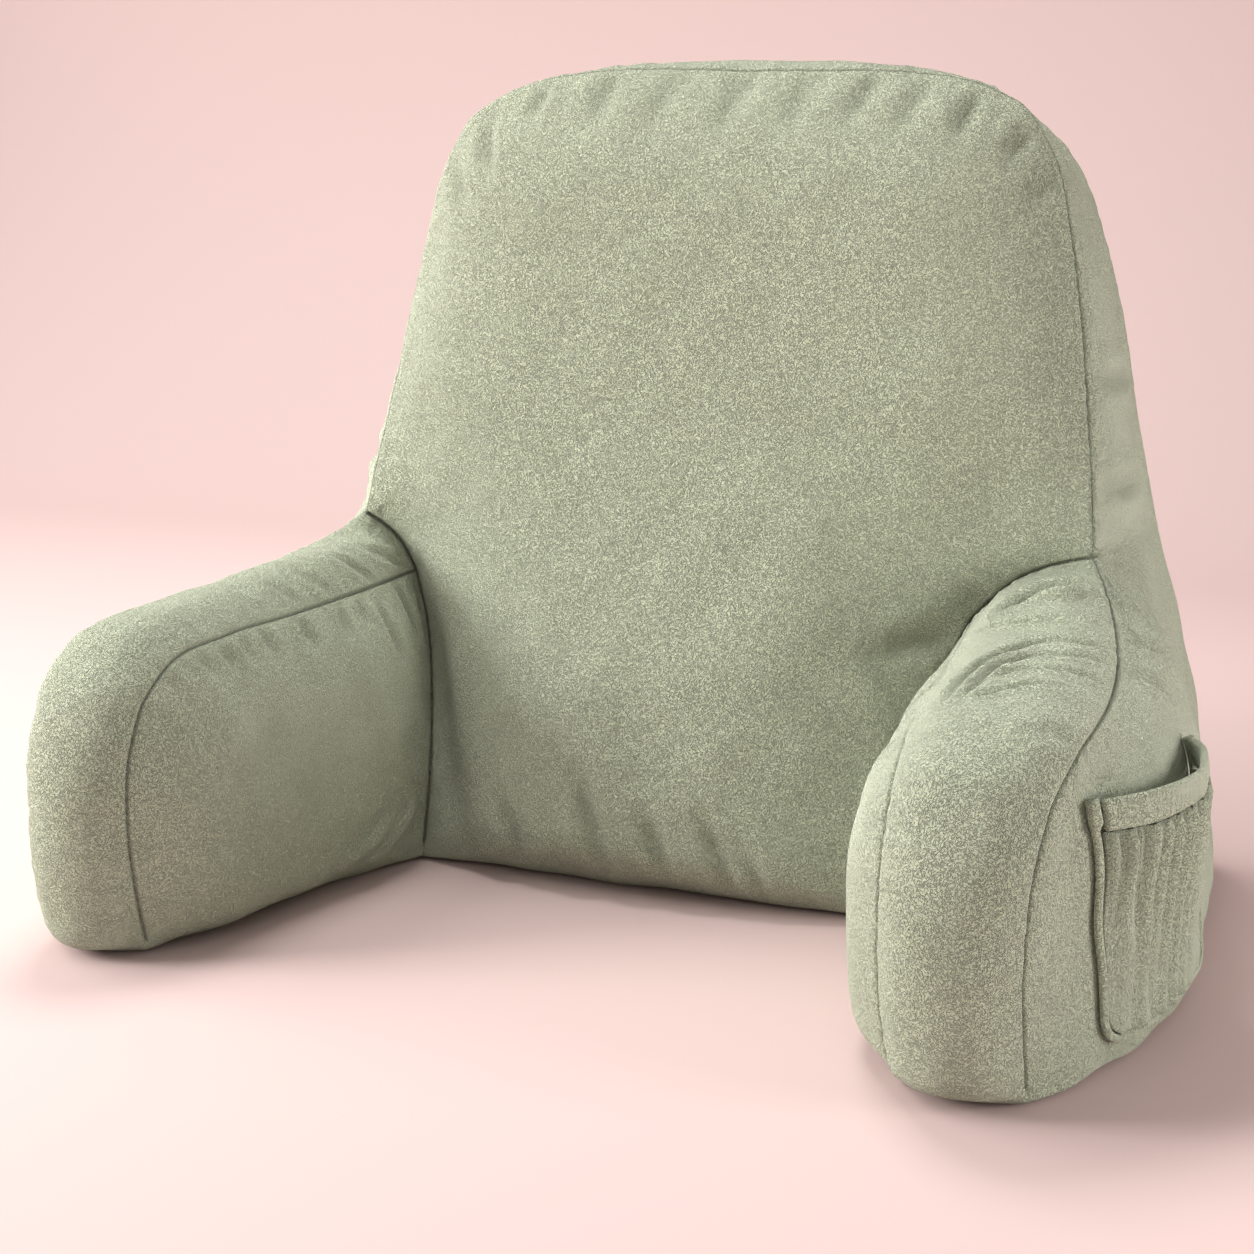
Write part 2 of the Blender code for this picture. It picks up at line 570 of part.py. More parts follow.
def fold_depths(points, quads, groups, s):
    """The folds and tucks, as distances along the normals."""
    out = np.zeros(len(points))
    arms = np.unique(quads[np.char.startswith(groups, "arm_")])
    for side, line, half_width, depth in ARM_FOLDS:
        route = smooth_curve(line) * (-1 if side == "left" else 1, 1, 1)
        out[arms] += trough(points[arms], route, half_width, depth)
    over = whole(s, "front_side", "front_top")
    over = over[over[:, 2] > TUCKS_ABOVE]
    back = np.unique(quads[groups == "backrest:front"])
    for x, run_out, length, half_width, depth in TOP_TUCKS:
        start = over[np.argmin(np.abs(over[:, 0] - x))]
        line = np.array([start, start + unit(np.array([run_out, 0.0, -1.0])) * length])
        out[back] += trough(points[back], line, half_width, depth)
    return out


def seam_flags(points, seams):
    """Which points lie on a sewn seam."""
    on = np.zeros(len(points), bool)
    for group in ("front", "rear", "side", "gusset", "inner"):
        for line, _ in seams[group]:
            if line[:, 2].max() > FLOOR_SEAM + 0.001:
                on |= distance(points, line) < ON_LINE
    return on & (points[:, 2] > FLOOR_SEAM + 0.004)


def rimmed(points, seams):
    """Which points lie on a seam or on the bottom's edge."""
    on = np.zeros(len(points), bool)
    for group in seams.values():
        for line, _ in group:
            on |= distance(points, line) < ON_LINE
    return on


def pillow_skin(s):
    """The whole outside as (base points, points, quads, groups)."""
    skin = Skin()
    back_panels(skin, s)
    arm_panels(skin, s, "right")
    arm_panels(skin, s, "left")
    base, quads, groups = skin.merged()
    seams = group_seams(s)
    sewn = seam_flags(base, seams)
    out = crown(base, quads, groups, seams)
    side = np.isin(np.arange(len(base)), quads[np.char.endswith(groups, ":side")])
    points = faired(base, quads, side & ~rimmed(base, seams), FAIRING)
    floor_points(points, quads, groups, seams)
    points = points + normals(points, quads) * out[:, None]
    points = points + normals(points, quads) * fold_depths(points, quads, groups, s)[:, None]
    points -= normals(points, quads) * (sewn * SEAM_DEPTH)[:, None]
    points[:, 2] = np.maximum(points[:, 2], 0.0)
    return base, points, quads, groups


def wall(s, side, base, points):
    """The wall between one arm and the back, over the skin's own points round it: (new points, triangles)."""
    sides = [s[side][name] for name in ("floor_split", "split", "gusset_back", "arm_back")]
    flat = coons(*sides)
    rows, columns = flat.shape[:2]
    number = np.zeros((rows, columns), int)
    grid = np.zeros_like(flat)
    rim = np.ones((rows, columns), bool)
    rim[1:-1, 1:-1] = False
    for j, i in zip(*np.nonzero(rim)):
        number[j, i] = np.argmin(np.linalg.norm(base - flat[j, i], axis=1))
        grid[j, i] = points[number[j, i]]
    grid = relaxed(coons(grid[0], grid[:, -1], grid[-1], grid[:, 0]))
    number[1:-1, 1:-1] = len(points) + np.arange((rows - 2) * (columns - 2)).reshape(rows - 2, columns - 2)
    triangles = []
    for j in range(rows - 1):
        for i in range(columns - 1):
            triangles.append((number[j, i], number[j, i + 1], number[j + 1, i + 1]))
            triangles.append((number[j, i], number[j + 1, i + 1], number[j + 1, i]))
    triangles = np.array(triangles)
    if side == "left":
        triangles = triangles[:, ::-1]
    return grid[1:-1, 1:-1].reshape(-1, 3), triangles


def cushions(s):
    """The three filled pieces, each closed by its walls, as {name: (points, faces)}."""
    base, points, quads, groups = pillow_skin(s)
    node = np.array([group.split(":")[0] for group in groups])
    pieces = {}
    back = list(quads[node == "backrest"])
    for side in ("right", "left"):
        inner, triangles = wall(s, side, base, points)
        points = np.concatenate([points, inner])
        back += list(triangles)
        arm = points.copy()
        arm[np.unique(triangles), 1] -= WALL_GAP
        pieces["arm_" + side] = compact(arm, list(quads[node == "arm_" + side]) + list(triangles[:, ::-1]))
    pieces["backrest"] = compact(points, back)
    return pieces


def compact(points, faces):
    """The faces, with only the points that they use."""
    used = np.unique(np.concatenate(faces))
    place = np.zeros(len(points), int)
    place[used] = np.arange(len(used))
    return points[used], [place[face] for face in faces]


class ArmSide:
    """The arm's outer side as a surface over y and z, which the pocket's pieces stand off from."""

    def __init__(self, points, quads):
        self.tree = BVHTree.FromPolygons([tuple(p) for p in points], [tuple(int(i) for i in q) for q in quads])

    def across(self, y, z):
        """The surface's x at one y and z."""
        return self.tree.ray_cast((1.0, y, z), (-1.0, 0.0, 0.0))[0].x

    def place(self, y, z, off, upright=0.0):
        """The point that stands off from the surface at y and z, or straight up from its fullest height."""
        half = SURFACE_SPAN
        slope_y = (self.across(y + half, z) - self.across(y - half, z)) / (2 * half)
        slope_z = (self.across(y, z + half) - self.across(y, z - half)) / (2 * half)
        x = (self.across(y + half, z) + self.across(y - half, z) + 2 * self.across(y, z)) / 4
        x = max(x, self.across(y, z))
        if upright and z > STRAIGHT_Z:
            share = upright * min((z - STRAIGHT_Z) / STRAIGHT_BLEND, 1)
            x += share * max(self.across(y, STRAIGHT_Z) - x, 0)
            slope_z *= 1 - share
        return np.array([x, y, z]) + unit(np.array([1.0, -slope_y, -slope_z])) * off


def pocket_y(across, z):
    """y at a share of the pocket's width, at one height."""
    front = POCKET_FRONT_Y + POCKET_LEAN * (POCKET_MOUTH_Z - z) / (POCKET_MOUTH_Z - POCKET_FLOOR_Z)
    return front + (POCKET_REAR_Y - front) * across


def mouth_z(across):
    """The mouth's height at a share of the pocket's width."""
    return POCKET_MOUTH_Z - POCKET_DROP * across**2


def belly(across):
    """0 at the pocket's sewn sides and 1 in its middle."""
    return math.sin(math.pi * min(max(across, 0), 1)) ** BELLY_POWER


def pocket_off(across, up):
    """How far the pocket's inner face stands off the arm."""
    return STAND_OFF + POCKET_SWELL * belly(across) * min(max(up, 0), 1) ** SWELL_POWER


def gather(across, up):
    """How far the gathers push the cloth out at a share of the width and height."""
    lean = across + GATHER_LAP / GATHER_COUNT * math.sin(2 * math.pi * GATHER_COUNT * across) / (2 * math.pi)
    wave = 0.5 - 0.5 * math.cos(2 * math.pi * GATHER_COUNT * lean)
    uneven = 1 - GATHER_UNEVEN + GATHER_UNEVEN * math.sin(GATHER_COUNT * across + 1)
    fade = GATHER_LOW_SHARE + (1 - GATHER_LOW_SHARE) * min(max(up, 0), 1) ** GATHER_FADE
    edge = min(1.0, GATHER_ENDS * across, GATHER_ENDS * (1 - across))
    return GATHER_DEPTH * wave * uneven * fade * edge


def tube(rings):
    """(points, quads) of a closed body through rings of points, with its two ends filled."""
    count = len(rings[0])
    points = [point for ring in rings for point in ring]
    quads = []
    for k in range(len(rings) - 1):
        for i in range(count):
            j = (i + 1) % count
            quads.append((k * count + i, k * count + j, (k + 1) * count + j, (k + 1) * count + i))
    for k, way in ((0, 1), (len(rings) - 1, -1)):
        quads.append(tuple(range(k * count, (k + 1) * count))[::-way])
    return np.array(points), quads


def pocket_panel(arm):
    """The gathered cloth, as one sheet with both its faces."""
    side_inset = BINDING_HALF_WIDTH + GAP
    high = POCKET_MOUTH_Z - POCKET_FLOOR_Z
    width = POCKET_REAR_Y - POCKET_FRONT_Y
    faces = ([], [])
    for i in range(STEPS_POCKET_WIDE + 1):
        share = i / STEPS_POCKET_WIDE
        from_end = min(share, 1 - share) * width
        short = max(0.0, POCKET_CORNER - from_end)
        low = POCKET_FLOOR_Z + POCKET_CORNER - math.sqrt(POCKET_CORNER**2 - short**2) + side_inset
        top = mouth_z(share) - BAND_HIGH - 2 * GAP
        for j in range(STEPS_POCKET_HIGH + 1):
            z = low + (top - low) * j / STEPS_POCKET_HIGH
            up = (z - POCKET_FLOOR_Z) / high
            inset = side_inset / width
            across = inset + share * (1 - 2 * inset)
            y = pocket_y(across, z)
            off = pocket_off(across, up) + gather(across, up)
            for face, more in zip(faces, (0.0, CLOTH_THICK)):
                face.append(arm.place(y, z, off + more, belly(across)))
    rows = STEPS_POCKET_HIGH + 1
    columns = STEPS_POCKET_WIDE + 1
    count = rows * columns
    number = np.arange(count).reshape(columns, rows)
    quads = []
    for i in range(columns - 1):
        for j in range(rows - 1):
            cell = (number[i, j], number[i + 1, j], number[i + 1, j + 1], number[i, j + 1])
            quads.append(tuple(count + n for n in cell))
            quads.append(cell[::-1])
    loop = list(number[:, 0]) + list(number[-1, 1:]) + list(number[-2::-1, -1]) + list(number[0, -2:0:-1])
    for start, end in zip(loop, loop[1:] + loop[:1]):
        quads.append((start, end, count + end, count + start))
    return np.array(faces[0] + faces[1]), quads


def pocket_band(arm):
    """The folded band along the mouth."""
    inset = (TAB_HALF_WIDTH + GAP) / (POCKET_REAR_Y - POCKET_FRONT_Y)
    rings = []
    for i in range(STEPS_BAND + 1):
        across = inset + i / STEPS_BAND * (1 - 2 * inset)
        ring = []
        for k in range(BAND_POINTS):
            angle = -2 * math.pi * (k + 0.5) / BAND_POINTS
            thick = math.copysign(abs(math.cos(angle)) ** BAND_FLAT, math.cos(angle))
            tall = math.copysign(abs(math.sin(angle)) ** BAND_SQUARE, math.sin(angle))
            z = mouth_z(across) - BAND_HIGH / 2 + tall * BAND_HIGH / 2
            off = pocket_off(across, BAND_LEVEL) + BAND_THICK / 2 * (1 + thick)
            ring.append(arm.place(pocket_y(across, z), z, off, belly(across)))
        rings.append(ring)
    return tube(rings)


def straight_heights(low, mouth):
    """Heights down a straight side of the binding, with steps where it widens over the band's end."""
    band = mouth - BAND_HIGH
    closed_over = np.linspace(mouth, band + TAB_BLEND, max(2, STEPS_BINDING // 5))
    return np.concatenate([closed_over, np.linspace(band, low, STEPS_BINDING - 1)])


def binding_path():
    """The binding's middle line down the front, round the corners and up the rear, as (y, z)."""
    low = POCKET_FLOOR_Z + POCKET_CORNER
    front = [(pocket_y(0, z), z) for z in straight_heights(low, mouth_z(0))]
    rear = [(POCKET_REAR_Y, z) for z in straight_heights(low, mouth_z(1))[::-1]]
    first = pocket_y(0, low) + POCKET_CORNER
    last = POCKET_REAR_Y - POCKET_CORNER
    turn = np.linspace(0, math.pi / 2, STEPS_CORNER + 1)[1:]
    down = [(first - POCKET_CORNER * math.cos(a), low - POCKET_CORNER * math.sin(a)) for a in turn]
    rise = [(last + POCKET_CORNER * math.sin(a), low - POCKET_CORNER * math.cos(a)) for a in turn]
    bottom = [(y, POCKET_FLOOR_Z) for y in np.linspace(first, last, 2 * STEPS_BINDING + 1)[1:]]
    return np.array(front + down + bottom + rise + rear[1:])


def pocket_binding(arm):
    """The round turned edge, wider where it closes over the band's front end."""
    path = binding_path()
    way = unit(np.gradient(path, axis=0))
    rings = []
    for n, (y, z) in enumerate(path):
        inwards = np.array([-way[n, 1], way[n, 0]])
        mouth = mouth_z(float(n > len(path) / 2))
        tab = np.clip((z - (mouth - BAND_HIGH)) / TAB_BLEND, 0, 1)
        half = BINDING_HALF_WIDTH + (TAB_HALF_WIDTH - BINDING_HALF_WIDTH) * tab
        ring = []
        for k in range(BINDING_POINTS):
            angle = 2 * math.pi * (k + 0.5) / BINDING_POINTS
            step = inwards * half * math.cos(angle)
            off = BINDING_OFF + BINDING_HALF_HIGH * (1 + math.sin(angle))
            ring.append(arm.place(y + step[0], z + step[1], off))
        rings.append(ring)
    return tube(rings)


def mesh_object(name, points, faces, colour, roughness=0.9):
    """An object with its own material from points and faces."""
    mesh = bpy.data.meshes.new(name)
    mesh.from_pydata([tuple(p) for p in points], [], [tuple(int(i) for i in f) for f in faces])
    mesh.validate()
    mesh.shade_smooth()
    obj = bpy.data.objects.new(name, mesh)
    bpy.context.collection.objects.link(obj)
    material = bpy.data.materials.new(name)
    material.use_nodes = True
    shader = material.node_tree.nodes["Principled BSDF"]
    shader.inputs["Base Color"].default_value = (*colour, 1.0)
    shader.inputs["Roughness"].default_value = roughness
    shader.inputs["Metallic"].default_value = 0.0
    mesh.materials.append(material)
    return obj


def main():
    for obj in list(bpy.data.objects):
        bpy.data.objects.remove(obj)
    pieces = cushions({side: seam_lines(side) for side in ("right", "left")})
    for name, (points, quads) in pieces.items():
        mesh_object(name, points, quads, SAGE)
    arm = ArmSide(*pieces["arm_right"])
    mesh_object("pocket_panel", *pocket_panel(arm), SAGE)
    mesh_object("pocket_band", *pocket_band(arm), SAGE_DARK)
    mesh_object("pocket_binding", *pocket_binding(arm), SAGE_DARK)


main()
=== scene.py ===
"""The looks of the reading pillow with arms: plush cloth over its cushions, sewn seams with their puckers,
folds on the arms and the gathered pocket. Metres, +Z up, the front towards -Y."""

import math

import bpy
import numpy as np
from mathutils import Matrix, Vector
from mathutils.bvhtree import BVHTree
from mathutils.kdtree import KDTree

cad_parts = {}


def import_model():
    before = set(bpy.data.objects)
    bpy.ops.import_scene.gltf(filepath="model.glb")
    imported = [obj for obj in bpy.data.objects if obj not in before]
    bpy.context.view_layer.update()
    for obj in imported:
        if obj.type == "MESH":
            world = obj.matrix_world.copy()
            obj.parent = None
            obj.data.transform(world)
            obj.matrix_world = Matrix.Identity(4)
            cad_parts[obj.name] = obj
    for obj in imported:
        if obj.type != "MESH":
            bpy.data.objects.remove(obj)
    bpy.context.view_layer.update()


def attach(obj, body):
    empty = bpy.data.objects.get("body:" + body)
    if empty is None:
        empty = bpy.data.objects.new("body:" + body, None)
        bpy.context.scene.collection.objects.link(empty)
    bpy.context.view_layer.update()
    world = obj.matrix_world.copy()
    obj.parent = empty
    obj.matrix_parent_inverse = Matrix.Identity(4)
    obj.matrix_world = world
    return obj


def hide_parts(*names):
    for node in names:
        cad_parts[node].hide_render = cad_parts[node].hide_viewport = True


# Seam lines of the right half (+X), as points (x, y, z) that a smooth curve runs through.
FLOOR_SEAM = 0.004  # height of the bottom panel's drawn-in edge
FRONT_FLOOR_Y = -0.084  # front panel's bottom edge at the middle
CORNER_A = (0.166, -0.086, FLOOR_SEAM)  # arm, back and floor meet inside
CORNER_K = {"left": (0.216, 0.000, 0.178), "right": (0.179, -0.014, 0.176)}  # arm's inner seam at the back
CORNER_J = (0.250, -0.010, 0.218)  # arm's outer seam meets the back
CORNER_Q = (0.326, -0.046, FLOOR_SEAM)  # arm and back meet at the floor outside
CORNER_I = (0.220, -0.306, FLOOR_SEAM)  # arm's front, inner foot
CORNER_O = (0.287, -0.307, FLOOR_SEAM)  # arm's front, outer foot
CORNER_R = (0.300, 0.120, FLOOR_SEAM)  # rear seam at the floor
CORNER_M = (0.216, -0.306, 0.148)  # arm's inner seam turns from its front to its top
CORNER_P = (0.292, -0.300, 0.148)  # arm's outer seam does the same
CORNER_S = {"left": (0.194, 0.045, 0.484), "right": (0.187, 0.045, 0.483)}  # back's top corner, on its front
CORNER_T = (0.197, 0.130, 0.460)  # back's top corner, on its rear
FLOOR_TOE = (0.253, -0.317, FLOOR_SEAM)  # arm's front edge at the floor, between its feet

# The right arm is fuller at its root than the left one, so its inner lines lie further in.
SEAM_ARM_BACK = {
    "left": [CORNER_A, (0.172, -0.064, 0.050), (0.184, -0.038, 0.096), (0.199, -0.014, 0.138),
             CORNER_K["left"]],
    "right": [CORNER_A, (0.158, -0.070, 0.050), (0.158, -0.050, 0.096), (0.165, -0.031, 0.138),
              CORNER_K["right"]],
}
SEAM_GUSSET_BACK = {
    "left": [CORNER_K["left"], (0.231, -0.001, 0.202), CORNER_J],
    "right": [CORNER_K["right"], (0.206, -0.007, 0.202), CORNER_J],
}
SEAM_INNER_FRONT = [CORNER_I, (0.217, -0.318, 0.040), (0.216, -0.324, 0.082), (0.216, -0.320, 0.120),
                    CORNER_M]
SEAM_INNER_TOP = {
    "left": [CORNER_M, (0.217, -0.278, 0.166), (0.218, -0.225, 0.172), (0.217, -0.150, 0.173),
             (0.216, -0.070, 0.175), CORNER_K["left"]],
    "right": [CORNER_M, (0.212, -0.278, 0.159), (0.204, -0.225, 0.163), (0.196, -0.150, 0.163),
              (0.186, -0.075, 0.165), CORNER_K["right"]],
}
SEAM_OUTER_FRONT = [CORNER_O, (0.286, -0.316, 0.040), (0.286, -0.320, 0.082), (0.288, -0.315, 0.120),
                    CORNER_P]
SEAM_OUTER_TOP = [CORNER_P, (0.297, -0.272, 0.165), (0.298, -0.230, 0.171),
                  (0.295, -0.180, 0.174), (0.288, -0.128, 0.181), (0.277, -0.080, 0.191),
                  (0.265, -0.042, 0.203), CORNER_J]
SPLIT_OUTSIDE = [CORNER_Q, (0.322, -0.049, 0.060), (0.306, -0.044, 0.120), (0.288, -0.034, 0.172),
                 (0.270, -0.022, 0.202), CORNER_J]
FLOOR_INSIDE = [CORNER_I, (0.204, -0.240, FLOOR_SEAM), (0.192, -0.165, FLOOR_SEAM), CORNER_A]
FLOOR_OUTSIDE = [CORNER_O, (0.303, -0.278, FLOOR_SEAM), (0.317, -0.236, FLOOR_SEAM),
                 (0.329, -0.180, FLOOR_SEAM), (0.333, -0.120, FLOOR_SEAM), CORNER_Q]
FLOOR_SIDE = [CORNER_Q, (0.315, 0.035, FLOOR_SEAM), CORNER_R]
# The back's top left corner is a little fuller than its right one.
SEAM_FRONT_SIDE = {
    "left": [CORNER_J, (0.245, 0.002, 0.258), (0.238, 0.017, 0.310), (0.231, 0.028, 0.360),
             (0.223, 0.036, 0.405), (0.213, 0.042, 0.450), CORNER_S["left"]],
    "right": [CORNER_J, (0.245, 0.002, 0.258), (0.237, 0.017, 0.310), (0.229, 0.028, 0.360),
              (0.220, 0.036, 0.405), (0.208, 0.042, 0.450), CORNER_S["right"]],
}
SEAM_FRONT_TOP = {
    "left": [CORNER_S["left"], (0.162, 0.047, 0.501), (0.110, 0.048, 0.5105),
             (0.055, 0.048, 0.5115), (0.0, 0.048, 0.5085)],
    "right": [CORNER_S["right"], (0.154, 0.047, 0.4975), (0.105, 0.048, 0.505),
              (0.055, 0.048, 0.507), (0.0, 0.048, 0.5085)],
}
SEAM_REAR_SIDE = [CORNER_R, (0.292, 0.124, 0.080), (0.277, 0.127, 0.147), (0.258, 0.129, 0.222),
                  (0.241, 0.130, 0.300), (0.229, 0.130, 0.365), (0.216, 0.130, 0.420), CORNER_T]
SEAM_REAR_TOP = [CORNER_T, (0.164, 0.130, 0.482), (0.113, 0.130, 0.494),
                 (0.055, 0.130, 0.499), (0.0, 0.130, 0.500)]
REAR_LEVEL_J = 0.222  # height on the rear seam that lies behind corner J

# Steps along the seams and across the panels.
STEPS_HIGH = 22  # up an arm
STEPS_LONG = 60  # along an arm
STEPS_GUSSET = 14  # across an arm's top
STEPS_SIDE = 24  # up the back's side above the arm
STEPS_WIDE = 44  # across the back
STEPS_BOX = 10  # across the back's side and top strip
REAR_GRADING = 1.45  # steps along an arm close up towards the back by this power
RINGS = (0.0010, 0.0026, 0.0055, 0.010)  # rows beside a seam, metres from it
FLOOR_RINGS = (0.004,)  # the same on the bottom

# How far each panel swells from its seams, and the distance from a seam where it is full.
CROWNS = {
    "front": (0.034, 0.120),
    "rear": (0.030, 0.120),
    "side": (0.012, 0.044),
    "gusset": (0.016, 0.042),
    "inner": (0.020, 0.070),
}
FLOOR_REACH = 0.020  # the same distance above the floor, where the cloth rounds under
SOFT_REACH = 1.1  # a valley seam's slope runs this much further into the panel
# The swell of an arm's outer side at each height (z), as a share of its crown.
SIDE_FULLNESS = [(0.0, 0.3), (0.045, 0.7), (0.085, 1.3), (0.125, 1.9), (0.165, 1.7), (0.200, 1.2),
                 (0.260, 1.0)]
# The same along the arm (y): it turns the front corner slowly.
SIDE_ALONG = [(-0.330, 0.20), (-0.285, 0.25), (-0.262, 0.45), (-0.240, 0.75), (-0.215, 0.92),
              (-0.180, 1.0)]
CORNER_REACH = 0.090  # round corner J the side strip lies flatter, within this distance
CORNER_LEFT = 0.25  # share of its swell left at the corner
GUSSET_VALLEY = 2.0  # a gusset rises from the back's seam over this many times its own reach
BACK_FROM = 0.020  # behind this y the side's swell is the same at every height
ARM_FROM = -0.060  # in front of this y it follows the table
SHOULDER = 2.6  # higher is a tighter round beside a seam
FAIRING = 240  # rounds of evening out where the back's side runs on into the arm's
EVEN_ROUNDS = 2500  # rounds of evening out the back's wide panels
FAIR_STEP = 0.8  # share of the way that a round moves a point
RIDGE_HIGH = 0.45  # the ridges beside a fold, as a share of its depth
RIDGE_AT = 1.9  # and their distance from it, in half widths
FOLD_ENDS = 0.04  # share of a fold's length that is cut off at each end of its fade
FOLD_FADE = 0.6  # lower keeps a fold deep further towards its ends
FOLD_REACH = 4  # half widths from a fold to where it ends sideways
ON_LINE = 0.0002  # a point this near a seam lies on it
SEWN_FROM = 0.004  # the stitched lines start this far above the bottom's edge
ALL_SEWN = 0.99  # a new point counts as sewn where the points round it average more than this
FLOOR_ROUND = 0.010  # width of the bottom's rounded rim
RIM_BLUR = 5  # points to each side over which a panel's facing is averaged along its rim
GAP = 0.0003  # between pieces that touch

# The seams' stitched groove, the puckers beside it, and the painted shade in the grooves and in the folds'
# troughs.
SEAM_GROOVE = 0.0024  # depth
SEAM_WIDTH = 0.0009
SEAM_ROLL = 0.0003  # the turned-in cloth stands up this much beside the groove
SEAM_ROLL_AT = 0.0055  # and this far from it
PUCKER_SIZE = 0.009  # length along the seam
PUCKER_FINE = 0.55  # size of the finer puckers among them, as a share
PUCKER_FINE_SHARE = 0.6  # and their depth
PUCKER_REACH = 0.0075  # they are deepest this far from the seam
PUCKER_END = 6  # and they end this many times further out
PUCKER_DEPTH = 0.00060
SEAM_SHADE = 0.0009  # half width of the painted shade along the stitched line's groove
# colour of the painted shade: in the seams' grooves, the folds' troughs and between the pocket's gathers
PAINTED_SHADE_COLOUR = (0.170, 0.190, 0.120)
FOLD_SHADE = 0.42  # painted shade in the folds' troughs: the pile is darkened there by this share at most
FOLD_FULL = 0.0034  # depth of a fold whose trough gets the full painted shade
EASE_REACH = 0.055  # round corner J the skin is evened out, within this distance
EASE_RIM = 0.005  # but not this near a seam
EASE_ROUNDS = 45
UNEVEN = 0.0008  # slow swells all over the cloth
UNEVEN_SIZE = 0.060
UNEVEN_FROM_SEAM = 0.030
EDGE_PLACES = 8  # places on each sewn edge that distances are taken to
NOISE_WAVES = 24
NOISE_RANGE = (0.55, 1.45)  # their sizes round the middle one
NOISE_PEAK = 1.6  # standard deviations that count as 1
FOLD_POINTS = 11  # places along each fold
FOLD_GAIN = 2.5  # all fold depths together
FOLD_FROM_SEAM = 0.007  # nearer to a seam than this the folds are pulled flat
FOLD_AT_SEAM = 0.15  # share of their depth left on it

# Folds and tucks by panel, placed by where they show in the photograph, in pixels of its 1254 x 1254 frame: a
# trough between two low ridges, or a ridge where the depth is negative. Points (u, v), half width, depth
FOLDS = {
    "arm_right:gusset": [
        ([(1004, 612), (1030, 598), (1060, 590), (1100, 590)], 0.0075, 0.0040),
        ([(960, 640), (1000, 617), (1025, 604), (1055, 597), (1085, 595), (1110, 600)], 0.0045, -0.0016),
        ([(940, 703), (958, 686), (985, 664), (1010, 652), (1050, 641), (1090, 645), (1117, 651)],
         0.0034, 0.0023),
        ([(958, 699), (987, 674), (1012, 662), (1040, 655), (1070, 656), (1095, 660), (1117, 667)],
         0.0030, 0.0018),
        ([(975, 686), (995, 677), (1020, 670), (1045, 669), (1070, 672), (1095, 680), (1112, 690)],
         0.0028, 0.0015),
        ([(945, 705), (970, 697), (995, 691), (1020, 687), (1050, 686), (1075, 692)], 0.0030, 0.0016),
        ([(975, 630), (1000, 626), (1035, 620), (1070, 622)], 0.0036, 0.0012),
        ([(1030, 728), (1066, 736), (1092, 757)], 0.0055, 0.0008),
    ],
    "arm_right:side": [
        ([(1114, 604), (1134, 611), (1154, 620), (1170, 632), (1177, 642)], 0.0055, -0.0009),
        ([(1120, 640), (1150, 645), (1185, 668)], 0.0040, 0.0010),
        ([(1120, 668), (1148, 678), (1178, 700)], 0.0045, 0.0010),
    ],
    "arm_left:inner": [
        ([(395, 583), (405, 603), (419, 632)], 0.0042, 0.0020),
        ([(377, 598), (390, 627), (402, 656)], 0.0042, 0.0017),
        ([(338, 606), (350, 632)], 0.0042, 0.0013),
        ([(298, 618), (318, 646)], 0.0045, 0.0014),
        ([(261, 630), (278, 654)], 0.0042, 0.0013),
        ([(238, 636), (254, 658)], 0.0037, 0.0011),
        ([(217, 646), (238, 664)], 0.0040, 0.0013),
        ([(197, 655), (215, 672)], 0.0035, 0.0010),
        ([(358, 600), (368, 622)], 0.0035, 0.0010),
        ([(414, 575), (419, 600), (427, 640)], 0.0037, 0.0014),
        ([(345, 868), (372, 842), (400, 815)], 0.0050, -0.0014),
        ([(378, 858), (396, 836), (414, 806)], 0.0045, -0.0014),
    ],
    "arm_left:gusset": [
        ([(362, 547), (387, 557), (410, 569)], 0.0045, 0.0009),
        ([(335, 556), (357, 568), (372, 580)], 0.0034, 0.0010),
        ([(298, 572), (315, 581), (332, 595)], 0.0045, 0.0008),
        ([(266, 580), (285, 592), (302, 607)], 0.0045, 0.0008),
        ([(234, 589), (250, 602), (266, 618)], 0.0048, 0.0007),
    ],
    "backrest:front": [
        ([(490, 116), (487, 140), (488, 178)], 0.0060, 0.0016),
        ([(453, 166), (458, 184), (467, 208)], 0.0055, 0.0013),
        ([(546, 88), (540, 100), (533, 118)], 0.0055, 0.0013),
        ([(622, 70), (606, 92), (594, 122)], 0.0080, 0.0010),
        ([(690, 68), (664, 96), (650, 130)], 0.0085, 0.0008),
        ([(760, 68), (735, 98), (716, 132)], 0.0080, 0.0010),
        ([(822, 70), (798, 100), (782, 130)], 0.0080, 0.0008),
        ([(882, 74), (860, 98), (846, 122)], 0.0070, 0.0010),
        ([(930, 80), (912, 104), (900, 128)], 0.0065, 0.0010),
        ([(981, 93), (966, 112), (955, 138)], 0.0055, 0.0012),
        ([(1034, 128), (1018, 142), (1006, 164)], 0.0050, 0.0011),
        ([(1060, 177), (1043, 186), (1030, 202)], 0.0050, 0.0010),
        ([(604, 866), (592, 832), (576, 775)], 0.0070, 0.0018),
        ([(666, 873), (656, 848), (642, 815)], 0.0060, 0.0018),
        ([(733, 887), (718, 856), (702, 820)], 0.0060, 0.0020),
        ([(765, 891), (748, 868), (730, 840)], 0.0055, 0.0016),
        ([(520, 857), (512, 832), (500, 800)], 0.0060, 0.0014),
        ([(434, 600), (441, 660), (446, 720), (453, 785), (468, 842)], 0.0090, 0.0013),
        ([(960, 640), (925, 640), (880, 652)], 0.0080, 0.0014),
    ],
}
# Tucks in the back's side above the right arm, mirrored above the left: points (x, y, z), half width, depth
SIDE_TUCKS = [
    ([(0.275, 0.000, 0.262), (0.276, 0.035, 0.258), (0.272, 0.070, 0.262)], 0.0055, 0.0016),
    ([(0.262, 0.010, 0.330), (0.262, 0.050, 0.322), (0.255, 0.090, 0.324)], 0.0060, 0.0012),
]
